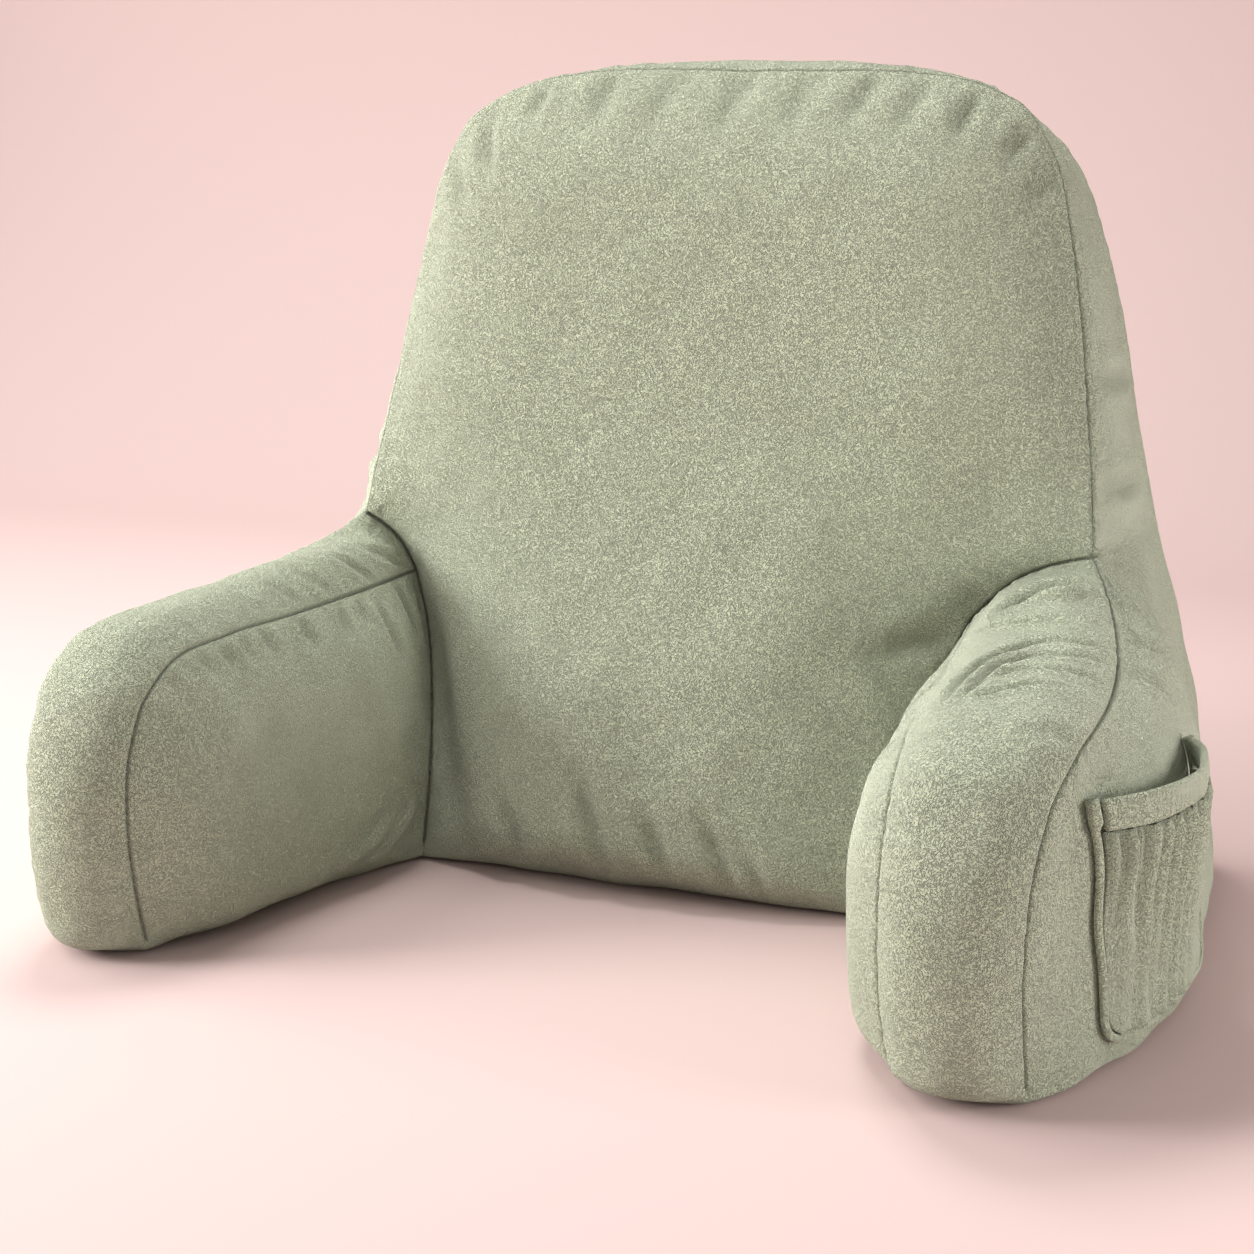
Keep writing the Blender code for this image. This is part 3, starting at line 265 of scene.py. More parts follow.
# The same on the panels that the photograph doesn't show.
HIDDEN_FOLDS = {
    "backrest:side": SIDE_TUCKS + [
        ([(-x, y, z) for x, y, z in places], half_width, depth) for places, half_width, depth in SIDE_TUCKS
    ],
    "arm_left:side": [
        ([(-0.292, -0.170, 0.176), (-0.312, -0.160, 0.160), (-0.326, -0.158, 0.132)], 0.0045, 0.0014),
        ([(-0.290, -0.120, 0.182), (-0.310, -0.108, 0.164), (-0.326, -0.104, 0.138)], 0.0045, 0.0016),
        ([(-0.282, -0.080, 0.192), (-0.303, -0.062, 0.172), (-0.320, -0.055, 0.146)], 0.0045, 0.0016),
        ([(-0.300, -0.240, 0.168), (-0.314, -0.238, 0.152), (-0.322, -0.240, 0.132)], 0.0040, 0.0012),
    ],
    "arm_right:inner": [
        ([(0.200, -0.080, 0.160), (0.188, -0.086, 0.142), (0.176, -0.088, 0.118)], 0.0040, 0.0018),
        ([(0.202, -0.120, 0.158), (0.192, -0.128, 0.142), (0.184, -0.132, 0.124)], 0.0040, 0.0016),
        ([(0.204, -0.180, 0.158), (0.196, -0.188, 0.142), (0.190, -0.192, 0.126)], 0.0040, 0.0014),
        ([(0.208, -0.240, 0.158), (0.202, -0.246, 0.144), (0.197, -0.248, 0.130)], 0.0036, 0.0012),
    ],
    "backrest:rear": [
        ([(-0.150, 0.140, 0.480), (-0.138, 0.150, 0.452), (-0.130, 0.155, 0.420)], 0.0075, 0.0018),
        ([(-0.070, 0.140, 0.498), (-0.064, 0.150, 0.470), (-0.062, 0.155, 0.440)], 0.0080, 0.0014),
        ([(0.020, 0.140, 0.500), (0.024, 0.150, 0.474), (0.022, 0.155, 0.444)], 0.0080, 0.0014),
        ([(0.105, 0.140, 0.494), (0.098, 0.150, 0.466), (0.092, 0.155, 0.436)], 0.0075, 0.0016),
        ([(0.170, 0.140, 0.474), (0.156, 0.150, 0.446), (0.146, 0.155, 0.416)], 0.0070, 0.0018),
        ([(-0.200, 0.140, 0.020), (-0.184, 0.150, 0.050), (-0.176, 0.155, 0.082)], 0.0070, 0.0016),
        ([(0.060, 0.140, 0.020), (0.052, 0.150, 0.048), (0.050, 0.155, 0.078)], 0.0070, 0.0016),
        ([(0.190, 0.140, 0.020), (0.178, 0.150, 0.052), (0.168, 0.155, 0.084)], 0.0070, 0.0016),
    ],
}

# Where the back's left side strip swells out behind the arm: panel, place, reach, height
CORNER_BULGE = ("backrest:side", (-0.262, 0.030, 0.236), 0.040, 0.009)
BULGE_FROM_SEAM = 0.030  # it comes in over this distance from a seam

# Patch pocket on the right arm's outer side, by y and z on the arm's surface.
POCKET_FRONT_Y = -0.274  # front edge at the mouth
POCKET_LEAN = 0.017  # the front edge runs back this far towards the bottom
POCKET_REAR_Y = -0.118  # rear edge
POCKET_FLOOR_Z = 0.018  # bottom edge
POCKET_MOUTH_Z = 0.144  # top of the band at the front
POCKET_DROP = 0.004  # the mouth lies this much lower at its rear end
STRAIGHT_Z = 0.112  # above this height the pocket stands straight up instead of following the arm
STRAIGHT_BLEND = 0.010  # height over which the one turns into the other
POCKET_CORNER = 0.016  # radius of its two lower corners
POCKET_SWELL = 0.0115  # how far the mouth stands off the arm at its middle
SWELL_POWER = 1.3  # how the swell grows from the bottom to the mouth
BELLY_POWER = 0.6  # how it falls off towards the sewn sides
CLOTH_THICK = 0.0020
STAND_OFF = 0.0015  # the pocket's cloth from the arm at its sewn edges
BAND_HIGH = 0.0155  # the folded band along the mouth
BAND_THICK = 0.0044
BAND_LEVEL = 0.95  # share of the pocket's height whose swell the band follows
BAND_FLAT = 0.7  # lower is a flatter front on the band's section
BAND_SQUARE = 0.5  # lower is squarer along its top and bottom
BINDING_OFF = 0.0009  # the binding from the arm
BINDING_HALF_WIDTH = 0.0023
BINDING_HALF_HIGH = 0.0020
TAB_HALF_WIDTH = 0.0036  # the binding's front end, turned over the band's end
TAB_HALF_HIGH = 0.0032
TAB_BLEND = 0.004  # height over which the binding widens to it
# Gathers that hang from the band: share of the width, half width, depth, how far down they reach, and how far
# they run sideways.
GATHERS = [
    (0.045, 0.0024, 0.0024, 0.30, 0.00),
    (0.110, 0.0030, 0.0054, 0.50, 0.01),
    (0.145, 0.0020, 0.0030, 0.25, 0.02),
    (0.200, 0.0032, 0.0062, 0.80, 0.01),
    (0.235, 0.0020, 0.0027, 0.22, -0.02),
    (0.272, 0.0032, 0.0062, 0.62, 0.02),
    (0.340, 0.0034, 0.0070, 0.95, 0.02),
    (0.385, 0.0022, 0.0030, 0.30, -0.02),
    (0.450, 0.0036, 0.0073, 0.85, 0.01),
    (0.505, 0.0024, 0.0035, 0.35, 0.02),
    (0.560, 0.0036, 0.0070, 0.75, -0.01),
    (0.615, 0.0028, 0.0046, 0.50, 0.02),
    (0.665, 0.0034, 0.0065, 0.85, -0.01),
    (0.720, 0.0026, 0.0038, 0.35, 0.01),
    (0.775, 0.0036, 0.0065, 0.70, -0.02),
    (0.840, 0.0030, 0.0049, 0.50, -0.01),
    (0.900, 0.0030, 0.0049, 0.50, -0.02),
    (0.955, 0.0024, 0.0024, 0.30, 0.00),
]
# Gathers that rise from the bottom edge, in the same columns.
LOW_GATHERS = [
    (0.080, 0.0045, 0.0016, 0.22, 0.02),
    (0.190, 0.0050, 0.0020, 0.25, 0.03),
    (0.320, 0.0050, 0.0022, 0.28, 0.03),
    (0.450, 0.0055, 0.0024, 0.30, 0.02),
    (0.580, 0.0050, 0.0022, 0.28, -0.02),
    (0.710, 0.0050, 0.0020, 0.25, -0.03),
    (0.840, 0.0045, 0.0018, 0.22, -0.03),
]
GATHER_SHADE = 0.85  # painted shade between them: the pile is darkened by this share at most
GATHER_SHADE_REACH = 0.40  # share of the height over which that painted shade fades
GATHER_WIDE = 1.12  # all their half widths together
GATHER_TUCK = 0.045  # share of the height over which the cloth flattens under the band
GATHER_TUCKED = 0.55  # of the depth is left there
GATHER_TOP = 0.87  # share of the height where the band's lower edge holds them
GATHER_FULL = 0.0045  # a gather this high gets no painted shade
BAND_PUCKER = 0.00035  # height of the puckers where the gathers run into the band
BAND_PUCKER_COUNT = 26
BAND_WANDER = 0.012  # their uneven spacing, as a share of the width
BAND_WANDER_RATE = 19
SURFACE_SPAN = 0.008  # the arm's slope under the pocket is measured over this distance

# Steps across the pocket's pieces.
STEPS_POCKET_WIDE = 240
STEPS_POCKET_HIGH = 60
STEPS_BAND = 180  # along the band
STEPS_CORNER = 14  # round a corner of the binding
STEPS_BINDING = 60  # up its sides, and twice as many along the bottom
STEPS_TAB = 12  # down its end beside the band
BAND_POINTS = 36  # round the band's section
BINDING_POINTS = 18  # round the binding's

# The photograph's view: where the camera stands, its turn and tilt in degrees, its focal length in pixels.
CAMERA_PLACE = (0.473, -1.189, 0.403)
CAMERA_TURN = 24
CAMERA_TILT = 11
FOCAL = 2000
FRAME = 1254  # pixels across the square frame
SENSOR = 36  # millimetres

# Plush: base colours of the pile, light along its tips and dark between the tufts.
PILE_LIGHT = (0.610, 0.668, 0.487)
PILE_DARK = (0.385, 0.429, 0.288)
PLUSH_LOOK = {
    "Roughness": 0.95,
    "Specular IOR Level": 0.15,
    "Sheen Weight": 1.0,
    "Sheen Roughness": 0.28,
    "Sheen Tint": (0.88, 0.92, 0.78, 1),
}
NAP_SCALE = 730  # tufts across a metre, about
# Scale, detail and roughness of the noises: the tufts, their winding, the hairs on them, the brushed patches.
NAP = (NAP_SCALE, 1.2, 0.5)
SWIRL = (NAP_SCALE / 3, 1.0, 0.5)
HAIR = (NAP_SCALE * 4, 2.0, 0.5)
PATCH = (28, 3.0, 0.6)
NAP_WARP = 0.0024  # how far the tufts wind
NAP_BUMP = 0.0022  # their height in the bump
TUFT_STEEP = 12.0  # how steeply they rise from the gaps
HAIR_HEIGHT = 0.35  # height of the hairs beside that of the tufts
TUFT_TONE = 0.55  # what the tufts, the hairs and the patches each add to the tone
HAIR_TONE = 0.25
PATCH_TONE = 0.7

# The surroundings: a floor that runs up into the wall behind, the air's light, and the lamps.
FLOOR_COLOUR = (0.566, 0.434, 0.418)
FLOOR_LOOK = {"Base Color": (*FLOOR_COLOUR, 1), "Roughness": 0.9, "Specular IOR Level": 0.2}
FLOOR_NEAR = -4.0  # the floor's front edge
CURVE_FROM = 1.2  # where it starts to rise
CURVE_RADIUS = 1.0
CURVE_STEPS = 24
WALL_TOP = 4.0
BACKDROP_HALF = 5.0  # half its width
WORLD_COLOUR = (1.0, 0.965, 0.945, 1)
WORLD_STRENGTH = 0.45
# Place, target, size, watts, colour
LIGHTS = {
    "key": ((-2.85, -0.82, 2.15), (0.0, -0.1, 0.2), 2.8, 138, (1.0, 0.99, 0.97)),
    "side": ((-1.35, -0.95, 0.60), (-0.28, -0.28, 0.15), 0.5, 24, (1.0, 0.99, 0.97)),
    "top": ((-0.5, 0.45, 1.9), (-0.1, -0.1, 0.2), 0.7, 26, (1.0, 0.99, 0.97)),
    "fill": ((1.25, -0.25, 0.30), (0.33, -0.22, 0.06), 0.5, 8, (1.0, 0.97, 0.94)),
    "wall": ((-2.1, 1.0, 1.8), (-1.1, 2.2, 0.9), 1.2, 6, (1.0, 0.97, 0.95)),
}


def lengths(line):
    """How far along a polyline each of its points lies."""
    return np.concatenate([[0.0], np.cumsum(np.linalg.norm(np.diff(line, axis=0), axis=1))])


def smooth_curve(points, dense=16):
    """A dense polyline on the cubic curve through the points."""
    p = np.array(points, float)
    if len(p) == 2:
        return p
    dt = np.diff(lengths(p))[:, None]
    slope = np.diff(p, axis=0) / dt
    tangent = np.empty_like(p)
    tangent[1:-1] = (slope[1:] * dt[:-1] + slope[:-1] * dt[1:]) / (dt[1:] + dt[:-1])
    tangent[0] = 1.5 * slope[0] - 0.5 * tangent[1]
    tangent[-1] = 1.5 * slope[-1] - 0.5 * tangent[-2]
    line = [p[:1]]
    s = np.linspace(0, 1, dense + 1)[1:, None]
    for i in range(len(p) - 1):
        h = dt[i]
        line.append(
            (2 * s**3 - 3 * s**2 + 1) * p[i] + (s**3 - 2 * s**2 + s) * h * tangent[i]
            + (3 * s**2 - 2 * s**3) * p[i + 1] + (s**3 - s**2) * h * tangent[i + 1]
        )
    return np.concatenate(line)


def along(line, shares):
    """Points of a polyline at shares of its length."""
    length = lengths(line)
    at = np.asarray(shares) * length[-1]
    return np.stack([np.interp(at, length, line[:, k]) for k in range(3)], axis=1)


def stepped(points, steps, power=1.0):
    """The smooth curve through the points, at steps + 1 places that close up towards its end."""
    return along(smooth_curve(points), 1 - (1 - np.linspace(0, 1, steps + 1)) ** power)


def coons(bottom, right, top, left):
    """The grid of points spanned by four sides: bottom and top run from left to right, the others upwards."""
    u = np.linspace(0, 1, len(bottom))[None, :, None]
    v = np.linspace(0, 1, len(left))[:, None, None]
    across = (1 - u) * left[:, None] + u * right[:, None]
    upwards = (1 - v) * bottom[None] + v * top[None]
    corners = (
        (1 - u) * (1 - v) * bottom[0] + u * (1 - v) * bottom[-1] + (1 - u) * v * top[0] + u * v * top[-1]
    )
    return across + upwards - corners


def unit(vectors):
    return vectors / np.maximum(np.linalg.norm(vectors, axis=-1, keepdims=True), 1e-12)


def around(grid):
    """The grid's four sides in turn, anticlockwise from its first corner."""
    return [grid[0], grid[:, -1], grid[-1, ::-1], grid[::-1, 0]]


def inset(grid, step):
    """The grid's four sides moved into its surface by step, each keeping its own spacing."""
    normal = unit(np.cross(np.gradient(grid, axis=1), np.gradient(grid, axis=0)))
    sides, facings = around(grid), around(normal)
    ways = [unit(np.gradient(side, axis=0)) for side in sides]
    moved = []
    for k in range(4):
        side, way = sides[k], ways[k]
        facing = blurred(facings[k])
        turn_in = math.acos(np.clip(ways[k - 1][-1] @ way[0], -1, 1))
        turn_out = math.acos(np.clip(way[-1] @ ways[(k + 1) % 4][0], -1, 1))
        length = lengths(side)
        start = step * math.tan(turn_in / 2)
        stop = length[-1] - step * math.tan(turn_out / 2)
        at = start + length / length[-1] * (stop - start)
        inner = unit(np.cross(facing, way))
        place = [np.interp(at, length, (side + inner * step)[:, axis]) for axis in range(3)]
        moved.append(np.stack(place, axis=1))
    for k in range(4):
        corner = (moved[k - 1][-1] + moved[k][0]) / 2
        moved[k - 1][-1] = moved[k][0] = corner
    return moved


def blurred(facing):
    """Directions along a side, evened out with their neighbours."""
    padded = np.concatenate([facing[:1]] * RIM_BLUR + [facing] + [facing[-1:]] * RIM_BLUR)
    count = len(facing)
    return unit(sum(padded[k : k + count] for k in range(2 * RIM_BLUR + 1)))


def closed_loop(sides):
    return np.concatenate([side[:-1] for side in sides])


def relaxed(grid, rounds):
    """The grid with its inner points evened out."""
    grid = grid.copy()
    for _ in range(rounds):
        grid[1:-1, 1:-1] = (grid[:-2, 1:-1] + grid[2:, 1:-1] + grid[1:-1, :-2] + grid[1:-1, 2:]) / 4
    return grid


def ring_quads(rings, count):
    """Quads between rings of count points each, numbered one ring after the other."""
    steps = [(i, (i + 1) % count) for i in range(count)]
    first = range(0, (rings - 1) * count, count)
    return [(k + i, k + j, k + count + j, k + count + i) for k in first for i, j in steps]


def grid_quads(number):
    """Quads between the points of a grid with these numbers."""
    corners = (number[:-1, :-1], number[:-1, 1:], number[1:, 1:], number[1:, :-1])
    return list(zip(*(corner.ravel() for corner in corners)))


class Skin:
    """Panels as quads over shared points, each with the name of its group."""

    def __init__(self):
        self.points = []
        self.quads = []
        self.groups = []

    def add(self, points, quads, group):
        first = sum(len(p) for p in self.points)
        self.points.append(points)
        self.quads.append(np.array(quads) + first)
        self.groups += [group] * len(quads)

    def panel(self, group, bottom, right, top, left, flip=False, rings=RINGS, even=0):
        """A four-sided panel with rows beside its rim, facing where its sides run anticlockwise."""
        grid = coons(bottom, right, top, left)
        rows, columns = grid.shape[:2]
        if even:
            grid = relaxed(grid, even)
        insets = [inset(grid, step) for step in rings]
        loops = [closed_loop(around(grid))] + [closed_loop(sides) for sides in insets]
        count = len(loops[0])
        low, far, high, near = insets[-1]
        grid = relaxed(coons(low, far, high[::-1], near[::-1]), even)
        marks = np.cumsum([columns - 1, rows - 1, columns - 1])
        points = np.concatenate(loops + [grid[1:-1, 1:-1].reshape(-1, 3)])
        number = np.zeros((rows, columns), int)
        base = len(rings) * count
        number[0, :] = base + np.arange(columns)
        number[:, -1] = base + marks[0] + np.arange(rows)
        number[-1, ::-1] = base + marks[1] + np.arange(columns)
        number[1:, 0] = base + marks[2] + np.arange(rows - 1)[::-1]
        number[1:-1, 1:-1] = (base + count + np.arange((rows - 2) * (columns - 2))).reshape(rows - 2, -1)
        quads = ring_quads(len(loops), count) + grid_quads(number)
        if flip:
            quads = [q[::-1] for q in quads]
        self.add(points, quads, group)

    def merged(self):
        """(points, quads, groups) with coincident points made one."""
        points = np.concatenate(self.points)
        quads = np.concatenate(self.quads)
        _, first, index = np.unique(np.round(points, 6), axis=0, return_index=True, return_inverse=True)
        return points[first], index.reshape(-1)[quads], np.array(self.groups)


def mirrored(points):
    return np.array(points, float) * (-1, 1, 1)


def turned(points):
    return np.array(points)[::-1]


def seam_lines(side):
    """One side's seams and edges by name, at the steps that neighbouring panels share."""
    rear = smooth_curve(SEAM_REAR_SIDE)
    length = lengths(rear)
    level = np.interp(REAR_LEVEL_J, rear[:, 2], length) / length[-1]
    lines = {
        "arm_back": stepped(SEAM_ARM_BACK[side], STEPS_HIGH),
        "gusset_back": stepped(SEAM_GUSSET_BACK[side], STEPS_GUSSET),
        "inner_front": stepped(SEAM_INNER_FRONT, STEPS_HIGH),
        "inner_top": stepped(SEAM_INNER_TOP[side], STEPS_LONG, REAR_GRADING),
        "outer_front": stepped(SEAM_OUTER_FRONT, STEPS_HIGH),
        "outer_top": stepped(SEAM_OUTER_TOP, STEPS_LONG, REAR_GRADING),
        "split": stepped(SPLIT_OUTSIDE, STEPS_HIGH),
        "floor_inside": stepped(FLOOR_INSIDE, STEPS_LONG, REAR_GRADING),
        "floor_outside": stepped(FLOOR_OUTSIDE, STEPS_LONG, REAR_GRADING),
        "floor_front": stepped([CORNER_I, FLOOR_TOE, CORNER_O], STEPS_GUSSET),
        "floor_split": floor_split(),
        "floor_side": stepped(FLOOR_SIDE, STEPS_BOX),
        "front_side": stepped(SEAM_FRONT_SIDE[side], STEPS_SIDE),
        "front_top": stepped(SEAM_FRONT_TOP[side], STEPS_WIDE // 2),
        "rear_low": along(rear, np.linspace(0, level, STEPS_HIGH + 1)),
        "rear_side": along(rear, np.linspace(level, 1, STEPS_SIDE + 1)),
        "rear_top": stepped(SEAM_REAR_TOP, STEPS_WIDE // 2),
    }
    if side == "left":
        lines = {name: mirrored(line) for name, line in lines.items()}
    return lines


def joined(*lines):
    """Lines that run on into each other, as one."""
    return np.concatenate([lines[0]] + [line[1:] for line in lines[1:]])


def both(s, *names):
    """The named lines as one, on the right side and on the left."""
    return [joined(*(s[side][name] for name in names)) for side in ("right", "left")]


def whole(s, *names):
    """The right side's named lines up to the middle, and the left side's after them."""
    right, left = both(s, *names)
    return joined(right, turned(left))


def front_floor():
    """The front panel's bottom edge, from left to right."""
    return stepped([mirrored(CORNER_A), (0.0, FRONT_FLOOR_Y, FLOOR_SEAM), CORNER_A], STEPS_WIDE)


def rear_floor():
    """The rear panel's bottom edge, from left to right."""
    return stepped([mirrored(CORNER_R), CORNER_R], STEPS_WIDE + 2 * STEPS_GUSSET)


def floor_split():
    """The line on the floor where an arm meets the back: down to the floor between its two ends."""
    line = stepped([CORNER_A, CORNER_Q], STEPS_GUSSET)
    ends = np.minimum(np.linalg.norm(line - line[0], axis=1), np.linalg.norm(line - line[-1], axis=1))
    line[:, 2] = FLOOR_SEAM * (1 - swell(ends / FLOOR_ROUND))
    return line


def swell(share):
    """0 at a seam and 1 from share 1 on, with a round shoulder beside the seam."""
    return 1 - (1 - np.clip(share, 0, 1)) ** SHOULDER


def soft_swell(share):
    """0 at a seam and 1 from share 1 on, with an even slope that leaves room in a valley."""
    return np.sin(np.clip(share, 0, 1) * math.pi / 2)


def nearest_on(points, line):
    """How far each point is from a polyline, and the share of the line's length at its nearest place."""
    best = np.full(len(points), np.inf)
    run = np.zeros(len(points))
    length = lengths(line)
    for i, (start, end) in enumerate(zip(line[:-1], line[1:])):
        way = end - start
        share = np.clip((points - start) @ way / max(way @ way, 1e-12), 0, 1)
        far = np.linalg.norm(points - start - share[:, None] * way, axis=1)
        nearer = far < best
        best = np.where(nearer, far, best)
        run = np.where(nearer, (length[i] + share * (length[i + 1] - length[i])) / length[-1], run)
    return best, run


def distance(points, line):
    """How far each point is from a polyline."""
    return nearest_on(points, line)[0]


def from_nearest(points, lines):
    """How far each point is from the nearest of several polylines."""
    return np.min([distance(points, line) for line in lines], axis=0)


def tuples(points, faces):
    return [tuple(p) for p in points], [tuple(int(i) for i in f) for f in faces]


def surface_tree(points, quads):
    return BVHTree.FromPolygons(*tuples(points, quads))


def edges_of(quads):
    """Every edge once, as its two points."""
    edges = np.concatenate([quads[:, [k, (k + 1) % 4]] for k in range(4)])
    return np.unique(np.sort(edges, axis=1), axis=0)


def members(quads, groups, ending):
    """The points of the groups whose names end this way."""
    return np.unique(quads[np.char.endswith(groups, ending)])


def normals(points, quads):
    """Unit normals at the points, weighted by the area of the faces round them."""
    a, b, c, d = (points[quads[:, k]] for k in range(4))
    face = np.cross(c - a, d - b)
    total = np.zeros_like(points)
    for k in range(4):
        np.add.at(total, quads[:, k], face)
    return unit(total)


def raised(points, quads, lift):
    """The points moved out along their normals by lift, but none below the floor."""
    points = points + normals(points, quads) * lift[:, None]
    points[:, 2] = np.maximum(points[:, 2], 0.0)
    return points


def faired(points, quads, free, rounds):
    """The points with the free ones moved along their normals until the surface runs evenly through them."""
    edges = edges_of(quads)
    for _ in range(rounds):
        way = points[edges[:, 1]] - points[edges[:, 0]]
        weight = 1 / np.maximum(np.linalg.norm(way, axis=1, keepdims=True), 1e-6)
        pull = np.zeros_like(points)
        total = np.zeros((len(points), 1))
        np.add.at(pull, edges[:, 0], way * weight)
        np.add.at(pull, edges[:, 1], -way * weight)
        np.add.at(total, edges[:, 0], weight)
        np.add.at(total, edges[:, 1], weight)
        normal = normals(points, quads)
        shift = np.sum(pull / total * normal, axis=1, keepdims=True)
        points = points + np.where(free[:, None], FAIR_STEP * shift * normal, 0)
    return points


def arm_panels(skin, s, side):
    """One arm's panels: inner, outer, the gusset round its top and front, and its bottom."""
    flip = side == "left"
    line = dict(s[side])
    line["inner"] = joined(line["inner_front"], line["inner_top"])
    line["outer"] = joined(line["outer_front"], line["outer_top"])
    for panel, names, turn, rings in (
        ("inner", ("floor_inside", "arm_back", "inner_top", "inner_front"), not flip, RINGS),
        ("side", ("floor_outside", "split", "outer_top", "outer_front"), flip, RINGS),
        ("gusset", ("floor_front", "outer", "gusset_back", "inner"), flip, RINGS),
        ("floor", ("floor_front", "floor_outside", "floor_split", "floor_inside"), not flip, FLOOR_RINGS),
    ):
        skin.panel("arm_" + side + ":" + panel, *(line[name] for name in names), turn, rings)


def back_panels(skin, s):
    """The backrest's panels: front, rear, the strip round its sides and top, and its bottom."""
    right, left = both(s, "arm_back", "gusset_back", "front_side")
    skin.panel("backrest:front", front_floor(), right, turned(whole(s, "front_top")), left, even=EVEN_ROUNDS)

    rear = whole(s, "rear_low", "rear_side", "rear_top")
    up = STEPS_HIGH + STEPS_SIDE - STEPS_GUSSET
    skin.panel("backrest:rear", rear_floor(), rear[: up + 1], turned(rear[up : len(rear) - up]),
               turned(rear[len(rear) - up - 1 :]), flip=True, even=EVEN_ROUNDS)

    level = stepped([CORNER_J, tuple(s["right"]["rear_low"][-1])], STEPS_BOX)
    for side, across in (("right", level), ("left", mirrored(level))):
        low, rear_low, split = (s[side][name] for name in ("floor_side", "rear_low", "split"))
        skin.panel("backrest:side", low, rear_low, across, split, side == "left")
    skin.panel("backrest:side", level, whole(s, "rear_side", "rear_top"), mirrored(level),
               whole(s, "front_side", "front_top"))

    floor_edge = joined(turned(s["left"]["floor_split"]), front_floor(), s["right"]["floor_split"])
    skin.panel("backrest:floor", floor_edge, s["right"]["floor_side"], rear_floor(), s["left"]["floor_side"],
               flip=True, rings=FLOOR_RINGS)


def pair(s, valley, *names):
    """A seam on each side, as (line, whether it is a valley)."""
    return [(line, valley) for line in both(s, *names)]


def group_seams(s):
    """For each group of panels, its seams as (line, whether it is a valley)."""
    over = (whole(s, "front_side", "front_top"), False)
    rear = (whole(s, "rear_low", "rear_side", "rear_top"), False)
    inner = pair(s, False, "inner_front", "inner_top")
    outer = pair(s, False, "outer_front", "outer_top")
    outside = pair(s, False, "floor_outside", "floor_side")
    toes = pair(s, False, "floor_front")
    inside = pair(s, False, "floor_inside")
    return {
        "front": pair(s, True, "arm_back", "gusset_back") + [over, (front_floor(), False)],
        "rear": [rear, (rear_floor(), False)],
        "side": outer + outside + [over, rear],
        "gusset": inner + outer + pair(s, True, "gusset_back") + toes,
        "inner": inner + pair(s, True, "arm_back") + inside,
        "floor": toes + outside + inside + [(front_floor(), False), (rear_floor(), False)],
    }


def crown(points, quads, groups, seams):
    """How far each point stands out from its panel's base, by its distance from each of the panel's seams."""
    out = np.zeros(len(points))
    for group, (height, reach) in CROWNS.items():
        member = members(quads, groups, ":" + group)
        mine = points[member]
        share = np.ones(len(member))
        for line, valley in seams[group]:
            far = distance(mine, line)
            if valley:
                share *= soft_swell(far / (reach * (GUSSET_VALLEY if group == "gusset" else SOFT_REACH)))
            else:
                share *= swell(far / (FLOOR_REACH if line[:, 2].max() <= FLOOR_SEAM else reach))
        if group == "side":
            heights, fullness = zip(*SIDE_FULLNESS)
            places, growth = zip(*SIDE_ALONG)
            ahead = np.clip((mine[:, 1] - BACK_FROM) / (ARM_FROM - BACK_FROM), 0, 1)
            share *= 1 + (np.interp(mine[:, 2], heights, fullness) - 1) * ahead
            share *= np.interp(mine[:, 1], places, growth)
            corner = np.linalg.norm(np.abs(mine) * (1, 0, 1) + mine * (0, 1, 0) - CORNER_J, axis=1)
            share *= CORNER_LEFT + (1 - CORNER_LEFT) * soft_swell(corner / CORNER_REACH)
        out[member] = np.maximum(out[member], height * share)
    return out


def floor_points(points, quads, groups, seams):
    """Rounds the bottom's rim and lays the rest of it on z = 0."""
    member = members(quads, groups, ":floor")
    far = from_nearest(points[member], [line for line, _ in seams["floor"]])
    points[member, 2] = FLOOR_SEAM * (1 - swell(far / FLOOR_ROUND))


def trough(points, line, half_width, depth):
    """A soft trough along a line, between two low ridges, fading out towards both ends of the line."""
    far, run = nearest_on(points, line)
    ends = np.sin(np.clip(run, FOLD_ENDS, 1 - FOLD_ENDS) * math.pi) ** FOLD_FADE
    across = far / half_width
    return ends * depth * (RIDGE_HIGH * np.exp(-((across - RIDGE_AT) ** 2)) - np.exp(-(across**2)))


def seam_flags(points, seams):
    """Which points lie on a sewn seam."""
    lines = [line for name, group in seams.items() if name != "floor" for line, _ in group]
    lines = [line for line in lines if line[:, 2].max() > FLOOR_SEAM + ON_LINE]
    return (from_nearest(points, lines) < ON_LINE) & (points[:, 2] > FLOOR_SEAM + SEWN_FROM)


def pillow_skin(s):
    """The whole outside as (points, quads, groups, which points are sewn)."""
    skin = Skin()
    back_panels(skin, s)
    arm_panels(skin, s, "right")
    arm_panels(skin, s, "left")
    base, quads, groups = skin.merged()
    seams = group_seams(s)
    sewn = seam_flags(base, seams)
    out = crown(base, quads, groups, seams)
    side = np.isin(np.arange(len(base)), members(quads, groups, ":side"))
    inside = from_nearest(base, [line for group in seams.values() for line, _ in group]) >= ON_LINE
    points = faired(base, quads, side & inside, FAIRING)
    floor_points(points, quads, groups, seams)
    return raised(points, quads, out), quads, groups, sewn


